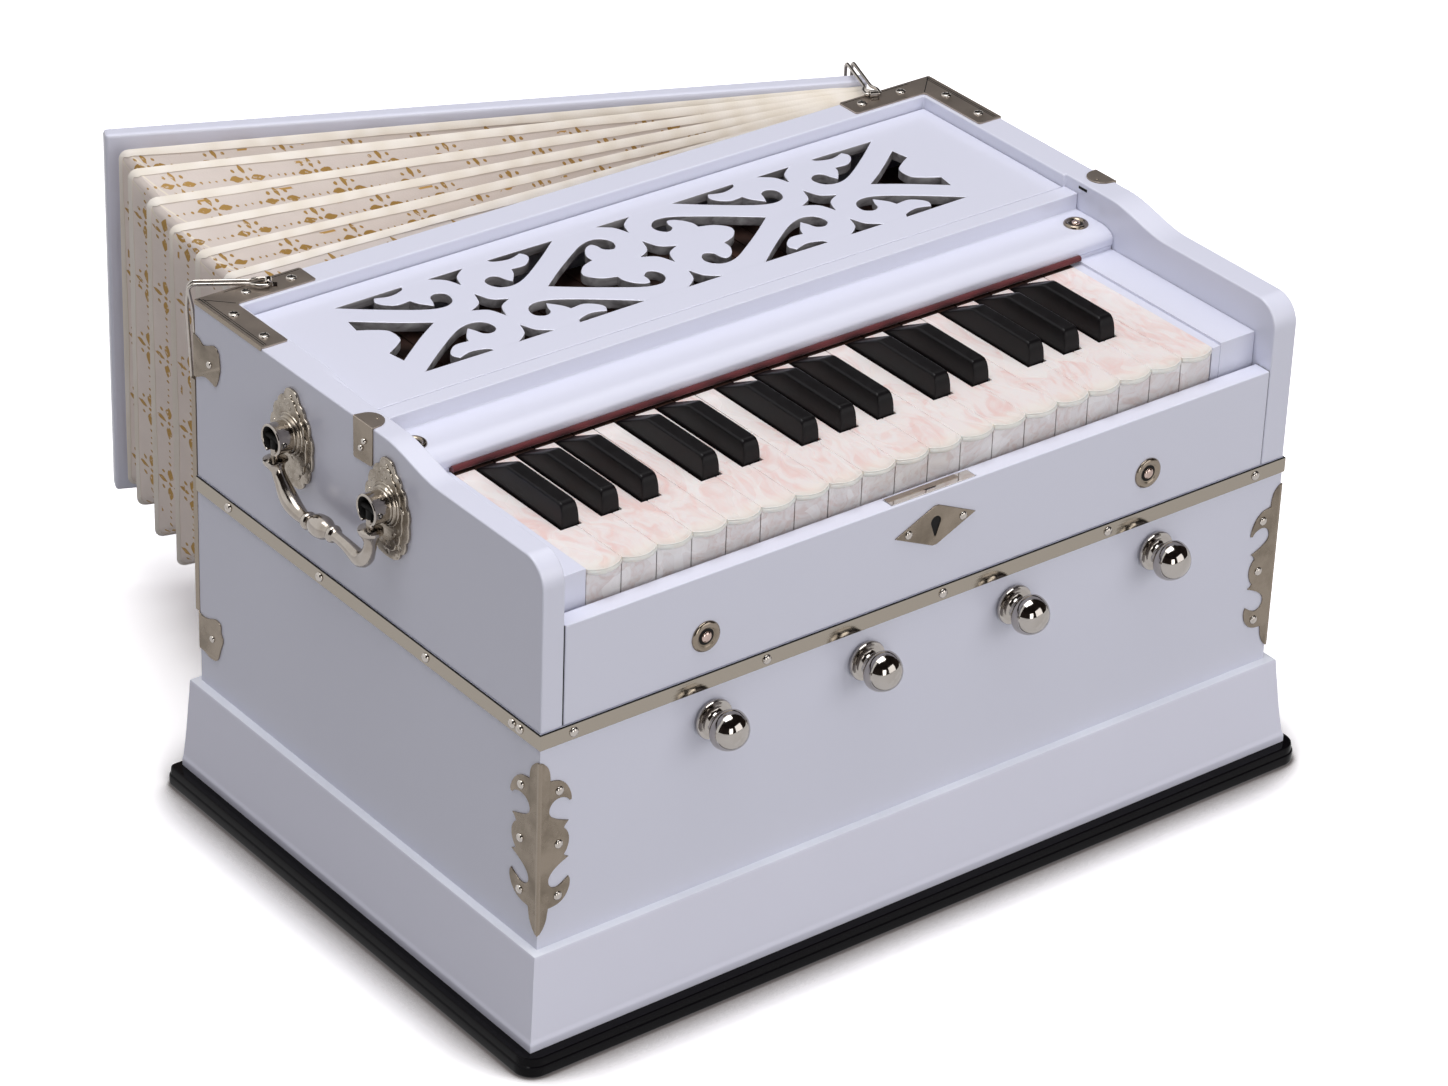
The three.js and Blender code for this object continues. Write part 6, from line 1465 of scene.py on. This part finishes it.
HINGE_ZS, HOLE_Z = (111.5, 269.0), 171.25
knuckle = [(3.6, -6), (4.0, -5.6), (4.0, 5.6), (3.6, 6)]
leaf_screw = [(1.9, -0.2), (1.7, 0.4), (0.9, 0.7), (0.05, 0.75)]
board_bm = bmesh.new()
eased_slab(board_bm, (9.4, 468.6), (0, 11), (71.5, 309.0), 2.4, on_board)
board = add_object("bellows_board_dressed", finished("bellows_board_dressed", board_bm), white_lacquer)
hole_middles = [9.4 + share * 459.2 for share in (0.35, 0.72)]
hole_cutters = []
for middle in hole_middles:
    for turn in [math.tau * k / 6 for k in range(6)]:
        bm = bmesh.new()
        hole = on_board(middle + 26 * math.cos(turn), 0, HOLE_Z + 26 * math.sin(turn))
        turned(bm, [(7, -3), (7, 14)], hole, board_out, 28)
        hole_cutters.append(add_object("hole", finished("hole", bm)))
combined(board, hole_cutters, "DIFFERENCE")
soften(board.data)
fit(board, "bellows", "case_lacquer", "bellows_board")
hinge_bm = bmesh.new()
for z in HINGE_ZS:
    eased_slab(hinge_bm, (2.5, 27.4), (-0.15, 2.0), (z - 6, z + 6), 0.4, on_board)
    turned(hinge_bm, [(1.85, -6), *knuckle, (1.85, 6), (1.85, -6)], (HINGE.x, HINGE.y, z), UP, 28)
    for a in (14.5, 22.5):
        turned(hinge_bm, [(r, up + 2.0) for r, up in leaf_screw], on_board(a, 0, z), board_out, 16)
made_up("board_hinge_leaves", hinge_bm, 40, (plate_nickel,), "bellows", "nickel")
leather = felt_material("flap_leather", (0.11, 0.055, 0.028), (0.06, 0.028, 0.015))
flap_bm = bmesh.new()
for a in hole_middles:
    eased_slab(flap_bm, (a - 40, a + 40), (-1.9, -0.1), (HOLE_Z - 38, HOLE_Z + 42), 0.6, on_board)
made_up("inlet_flaps", flap_bm, 35, (leather,), "bellows", "felt_red")

# Hinge batten: a dark hardwood strip screwed up the rear of the case, beside the bellows.
# It carries the fixed leaves of both butt hinges and the pins that the board's leaves turn on.
batten_bm = bmesh.new()


def in_case(x, y, z):
    return Vector((x, y, z))


eased_slab(batten_bm, (242.5, 258.0), (163.5, 177.0), (71.5, 303.0), 1.2, in_case)
for z in HINGE_ZS:
    turned(batten_bm, [(1.5, -18), (1.5, 18)], (HINGE.x, HINGE.y, z), UP, 20, 1)
    for leaf_z in (z - 12.4, z + 12.4):
        eased_slab(batten_bm, (240.5, 258.0), (176.8, 179.0), (leaf_z - 6, leaf_z + 6), 0.4, in_case, 1)
        turned(batten_bm, [(0.1, -6), *knuckle, (0.1, 6)], (HINGE.x, HINGE.y, leaf_z), UP, 28, 1)
        turned(batten_bm, leaf_screw, (251.5, 179.0, leaf_z), BACK, 16, 1)
made_up("hinge_batten_dressed", batten_bm, 40, (dark_wood, plate_nickel), "case", "dark_wood",
        "hinge_batten")

# Bellows folds: printed paper over card, folded like a fan between the case and the board.
# The outline of each fold runs along the top from the hinge, down the left side and back along the foot.
APEX = Vector((272.0, 171.0, 0))
FOLD_R = 497.0
RIDGES = (0.121, 0.273, 0.4405, 0.617, 0.8045, 0.929)
CORNER, PANEL, PAPER_TOP, PAPER_FOOT = 5.0, 22.0, 306, 84


def fold_edges(share):
    case_left = Vector((APEX.x - math.sqrt(492.0 ** 2 - 7.5 ** 2), 163.8, 0))
    case_right = Vector((232.0, 163.8, 0))
    board_left = on_board(462.6, -0.3, 0)
    board_right = on_board(15.4, -0.3, 0)
    start = math.atan2(case_left.y - APEX.y, APEX.x - case_left.x)
    end = math.atan2(board_left.y - APEX.y, APEX.x - board_left.x)
    angle = start + share * (end - start)
    left = APEX + Vector((-math.cos(angle), math.sin(angle), 0)) * FOLD_R
    if share == 0:
        left = case_left
    if share == 1:
        left = board_left
    return left, case_right.lerp(board_right, share)


def valley_depth(reach):
    half_pitch = min(reach * FAN / 12, PANEL)
    return min(math.sqrt(PANEL ** 2 - half_pitch ** 2), 4 * half_pitch)


def fold_ring(share, valley, inset):
    """Points round one fold line, with each point's distance from the top left corner along the line."""
    left, right = fold_edges(share)
    inward = (right - left).normalized()
    span = (right - left).length
    side = inset + (valley_depth(FOLD_R) if valley else 0)
    radius = CORNER + (0 if valley else 0.5)
    points, runs = [], []

    def add(from_left, z, run):
        points.append(left + inward * from_left + Vector((0, 0, z)))
        runs.append(run)

    top = []
    for i in range(25):
        reach = inset + (span - side - radius - inset) * (i / 24)
        top.append((span - reach, inset + (valley_depth(reach) if valley else 0)))
    corner = []
    for i in range(1, 6):
        angle = math.pi / 2 * i / 5
        corner.append((side + radius * (1 - math.sin(angle)), side + radius * (1 - math.cos(angle)), i))
    for from_left, drop in top:
        add(from_left, PAPER_TOP - drop, -(from_left - side - radius) - radius * 0.8)
    for from_left, drop, i in corner:
        add(from_left, PAPER_TOP - drop, radius * 1.57 * (i / 5 - 0.5))
    high, low = PAPER_TOP - side - radius, PAPER_FOOT + side + radius
    for i in range(1, 13):
        add(side, high + (low - high) * i / 12, radius * 0.8 + (high - low) * i / 12)
    foot = runs[-1]
    for from_left, drop, i in reversed(corner[:-1]):
        add(from_left, PAPER_FOOT + drop, foot + radius * 0.3 * (5 - i))
    for from_left, drop in reversed(top):
        add(from_left, PAPER_FOOT + drop, foot + radius * 1.6 + (from_left - side - radius))
    return points, runs


fold_lines = [(0, True)]
for k, ridge in enumerate(RIDGES):
    if k:
        fold_lines.append(((RIDGES[k - 1] + ridge) / 2, True))
    fold_lines.append((ridge, False))
fold_lines.append((1, True))


def wander(k, run):
    """The small waviness of hand-folded card, in millimetres."""
    return 0.35 * math.sin(run * 0.031 + 2.1 * k) + 0.2 * math.sin(run * 0.083 + 4.4 * k)


def fold_sheet(inset, steps):
    """Rows of places over the whole fan: (place, share, run, distance across, distance from the ridge)."""
    rows = []
    across = 0.0
    for k, ((share_a, valley_a), (share_b, valley_b)) in enumerate(zip(fold_lines, fold_lines[1:])):
        ring_a, run_a = fold_ring(share_a, valley_a, inset)
        ring_b, run_b = fold_ring(share_b, valley_b, inset)
        last = k == len(fold_lines) - 2
        for step in steps if last else steps[:-1]:
            row = []
            for i, (pa, pb) in enumerate(zip(ring_a, ring_b)):
                run = run_a[i] + (run_b[i] - run_a[i]) * step
                place = pa.lerp(pb, step)
                bow = (0.5 + wander(k, run)) * math.sin(math.pi * step)
                lean = PANEL * (step if not valley_a else 1 - step)
                if inset == 0 and 0 < step < 1:
                    place = place + Vector((0, 0, -bow if i < 30 else (bow if i > 46 else 0)))
                row.append((place, share_a + (share_b - share_a) * step, run, across + PANEL * step, lean))
            rows.append(row)
        across += PANEL
    return rows


outside = fold_sheet(0, (0, 0.12, 0.3, 0.5, 0.7, 0.88, 1))
inside = fold_sheet(1.5, (0, 0.5, 1))
inside.reverse()
rows = outside + inside
count = len(rows[0])
fold_points = [entry[0] * MM for row in rows for entry in row]
fold_faces = []
for r in range(len(rows)):
    nxt = (r + 1) % len(rows)
    for i in range(count):
        j = (i + 1) % count
        fold_faces.append((r * count + i, r * count + j, nxt * count + j, nxt * count + i))


def sheet_mesh(name, points, faces):
    """A closed sheet of these faces, all turned outwards."""
    mesh = bpy.data.meshes.new(name)
    mesh.from_pydata(points, [], faces)
    with opened(mesh):
        pass
    return mesh


folds_mesh = sheet_mesh("bellows_folds_dressed", fold_points, fold_faces)
uv = folds_mesh.uv_layers.new(name="paper")
flat = [(entry[2] * MM, entry[3] * MM) for row in rows for entry in row]
for loop in folds_mesh.loops:
    uv.data[loop.index].uv = flat[loop.vertex_index]
ridge_gaps = folds_mesh.attributes.new("from_ridge", "FLOAT", "POINT")
ridge_gaps.data.foreach_set("value", [entry[4] * MM for row in rows for entry in row])


def within(tree, value, high=1.0):
    """The value kept from 0 to high."""
    return calc(tree, "MINIMUM", calc(tree, "MAXIMUM", value, 0.0), high)


def print_group():
    """Gold print on the paper: a four-leaved flower with dots, in staggered rows and partly rubbed off."""
    tree, given, made = node_group("gold_print", "ShaderNodeTree",
                                   (("Place", "Vector"), ("Across Pitch", "Float", 0.046),
                                    ("Row Pitch", "Float", 0.022), ("Wear", "Float", 0.4)),
                                   (("Gold", "Float"),))
    place, across_pitch, row_pitch = given["Place"], given["Across Pitch"], given["Row Pitch"]
    parts = node(tree, "SeparateXYZ", {"Vector": place}).outputs
    shake = node(tree, "TexNoise", {"Vector": place, "Scale": 260.0, "Detail": 2.0})
    jitter = calc(tree, "MULTIPLY_ADD", shake, 0.0018, -0.0009)
    u = calc(tree, "ADD", parts["X"], jitter)
    v = calc(tree, "SUBTRACT", parts["Y"], jitter)
    rows_v = calc(tree, "DIVIDE", v, row_pitch)
    row = calc(tree, "FLOOR", rows_v)
    q = calc(tree, "MULTIPLY", calc(tree, "SUBTRACT", calc(tree, "SUBTRACT", rows_v, row), 0.5), row_pitch)
    shifted = calc(tree, "MULTIPLY_ADD", row, 0.37, calc(tree, "DIVIDE", u, across_pitch))
    p = calc(tree, "MULTIPLY", calc(tree, "SUBTRACT", calc(tree, "FRACT", shifted), 0.5), across_pitch)
    ap = calc(tree, "ABSOLUTE", p)
    aq = calc(tree, "ABSOLUTE", q)

    def leaf_mask(along, across, start, length, width):
        share = within(tree, calc(tree, "DIVIDE", calc(tree, "SUBTRACT", along, start), length))
        half = calc(tree, "MULTIPLY", calc(tree, "SINE", calc(tree, "MULTIPLY", share, math.pi)), width)
        return calc(tree, "MULTIPLY", calc(tree, "SUBTRACT", half, across), 5000.0)

    def dot_mask(x, y, radius):
        dx = calc(tree, "SUBTRACT", ap, x)
        dy = calc(tree, "SUBTRACT", aq, y)
        squares = calc(tree, "ADD", calc(tree, "MULTIPLY", dx, dx), calc(tree, "MULTIPLY", dy, dy))
        return calc(tree, "MULTIPLY", calc(tree, "SUBTRACT", radius, calc(tree, "SQRT", squares)), 5000.0)

    mask = leaf_mask(ap, aq, 0.002, 0.0088, 0.0019)
    dots = ((0.0, 0.0, 0.0012), (0.0052, 0.0046, 0.0011), (0.0135, 0.0, 0.0009), (0.0185, 0.0, 0.0007))
    for other in [leaf_mask(aq, ap, 0.0018, 0.0066, 0.0015)] + [dot_mask(*dot) for dot in dots]:
        mask = calc(tree, "MAXIMUM", mask, other)
    rub = node(tree, "TexNoise", {"Vector": place, "Scale": 420.0, "Detail": 3.0})
    kept = within(tree, calc(tree, "MULTIPLY", calc(tree, "SUBTRACT", rub, given["Wear"]), 9.0))
    feed(made, {"Gold": calc(tree, "MULTIPLY", within(tree, mask), kept)})
    return tree


gold_print = print_group()
folds_paper, paper, surface = plain_paint("printed_bellows_paper", {"Roughness": 0.55})
on_paper = node(paper, "UVMap", uv_map="paper")
from_ridge = node(paper, "Attribute", attribute_name="from_ridge").outputs["Fac"]
gold = node(paper, "Group", {"Place": on_paper, "Wear": 0.31, "Across Pitch": 0.041}, node_tree=gold_print)
mottle = node(paper, "TexNoise", {"Vector": on_paper, "Scale": 55.0, "Detail": 6.0}).outputs["Fac"]
fibres = node(paper, "TexNoise", {"Vector": on_paper, "Scale": 900.0})
paper_run = node(paper, "SeparateXYZ", {"Vector": on_paper}).outputs["X"]
# The paper down the left faces is made 1.24 times lighter: painted light from the left.
painted_side_light_level = calc(paper, "MULTIPLY_ADD", calc(paper, "GREATER_THAN", paper_run, 0.003), 0.24, 1.0)
bare = mixed(paper, mottle, (0.77, 0.7, 0.645), (0.67, 0.595, 0.545))
paper_with_painted_side_light = node(paper, "VectorMath", {0: bare, "Scale": painted_side_light_level}, operation="SCALE")
corner_gap = calc(paper, "MULTIPLY_ADD", mottle, 0.004, calc(paper, "MULTIPLY", from_ridge, 0.42))
corner_gap = calc(paper, "ABSOLUTE", calc(paper, "SUBTRACT", calc(paper, "ABSOLUTE", paper_run), corner_gap))
corner_line = within(paper, calc(paper, "MULTIPLY", calc(paper, "SUBTRACT", 0.0009, corner_gap), 1800.0),
                     0.85)
tape_gap = calc(paper, "ABSOLUTE", calc(paper, "SUBTRACT", from_ridge, 0.0052))
tape_line = within(paper, calc(paper, "MULTIPLY", calc(paper, "SUBTRACT", 0.0008, tape_gap), 2500.0))
tape_line = calc(paper, "MULTIPLY", tape_line, calc(paper, "GREATER_THAN", mottle, 0.63))
glued = mixed(paper, corner_line, paper_with_painted_side_light, (0.86, 0.79, 0.66))
stained = mixed(paper, tape_line, glued, (0.5, 0.29, 0.07))
feed(surface, {"Base Color": mixed(paper, gold, stained, (0.43, 0.255, 0.065)),
               "Metallic": calc(paper, "MULTIPLY", gold.outputs["Gold"], 0.35),
               "Normal": bumped(paper, fibres, 0.2, 0.0004)})
folds = add_object("bellows_folds_dressed", folds_mesh, folds_paper)
soften(folds_mesh, 25)


def share_out(piece):
    """The piece's place is baked into its mesh."""
    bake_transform(piece)


share_out(folds)
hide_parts("bellows_folds")

# Fold tapes: strips of cream cloth glued over each ridge of the bellows, from the hinge round the left side.
# They are narrower down the left faces.
tape = felt_material("cream_tape", (0.94, 0.89, 0.81), (0.89, 0.83, 0.73), 14.0, 0.00012)
tape_points, tape_faces, tape_shares = [], [], []
for k, (share, valley) in enumerate(fold_lines):
    if valley:
        continue
    ridge_ring, runs = fold_ring(share, False, 0)
    before_ring = fold_ring(*fold_lines[k - 1], 0)[0]
    after_ring = fold_ring(*fold_lines[k + 1], 0)[0]
    base = len(tape_points)
    for i, (ridge_at, low_a, low_b) in enumerate(zip(ridge_ring, before_ring, after_ring)):
        down_a = low_a - ridge_at
        down_b = low_b - ridge_at
        len_a, len_b = max(down_a.length, 0.5), max(down_b.length, 0.5)
        down_a.normalize()
        down_b.normalize()
        out = -(down_a + down_b).normalized()
        width = (4.6 if i < 27 else 2.6) + wander(k, runs[i])
        wa, wb = min(width, 0.8 * len_a), min(width, 0.8 * len_b)
        normal_a = (out - down_a * out.dot(down_a)).normalized()
        normal_b = (out - down_b * out.dot(down_b)).normalized()
        section = [(ridge_at + down_a * wa - normal_a * 0.25, -wa),
                   (ridge_at + down_a * wa + normal_a * 0.35, -wa),
                   (ridge_at + down_a * 1.2 + normal_a * 0.6, -1.2), (ridge_at + out * 0.75, 0),
                   (ridge_at + down_b * 1.2 + normal_b * 0.6, 1.2),
                   (ridge_at + down_b * wb + normal_b * 0.35, wb),
                   (ridge_at + down_b * wb - normal_b * 0.25, wb), (ridge_at - out * 0.4, 0)]
        step_a = (fold_lines[k][0] - fold_lines[k - 1][0]) / len_a
        step_b = (fold_lines[k + 1][0] - fold_lines[k][0]) / len_b
        for point, offset in section:
            tape_points.append(point * MM)
            tape_shares.append(share + offset * (step_a if offset < 0 else step_b))
    rows_here = len(ridge_ring)
    for r in range(rows_here - 1):
        for i in range(8):
            j = (i + 1) % 8
            tape_faces.append((base + r * 8 + i, base + r * 8 + j, base + (r + 1) * 8 + j,
                               base + (r + 1) * 8 + i))
    tape_faces.append(tuple(base + i for i in reversed(range(8))))
    tape_faces.append(tuple(base + (rows_here - 1) * 8 + i for i in range(8)))
tapes = add_object("fold_tapes", sheet_mesh("fold_tapes", tape_points, tape_faces), tape)
soften(tapes.data, 50)
share_out(tapes)
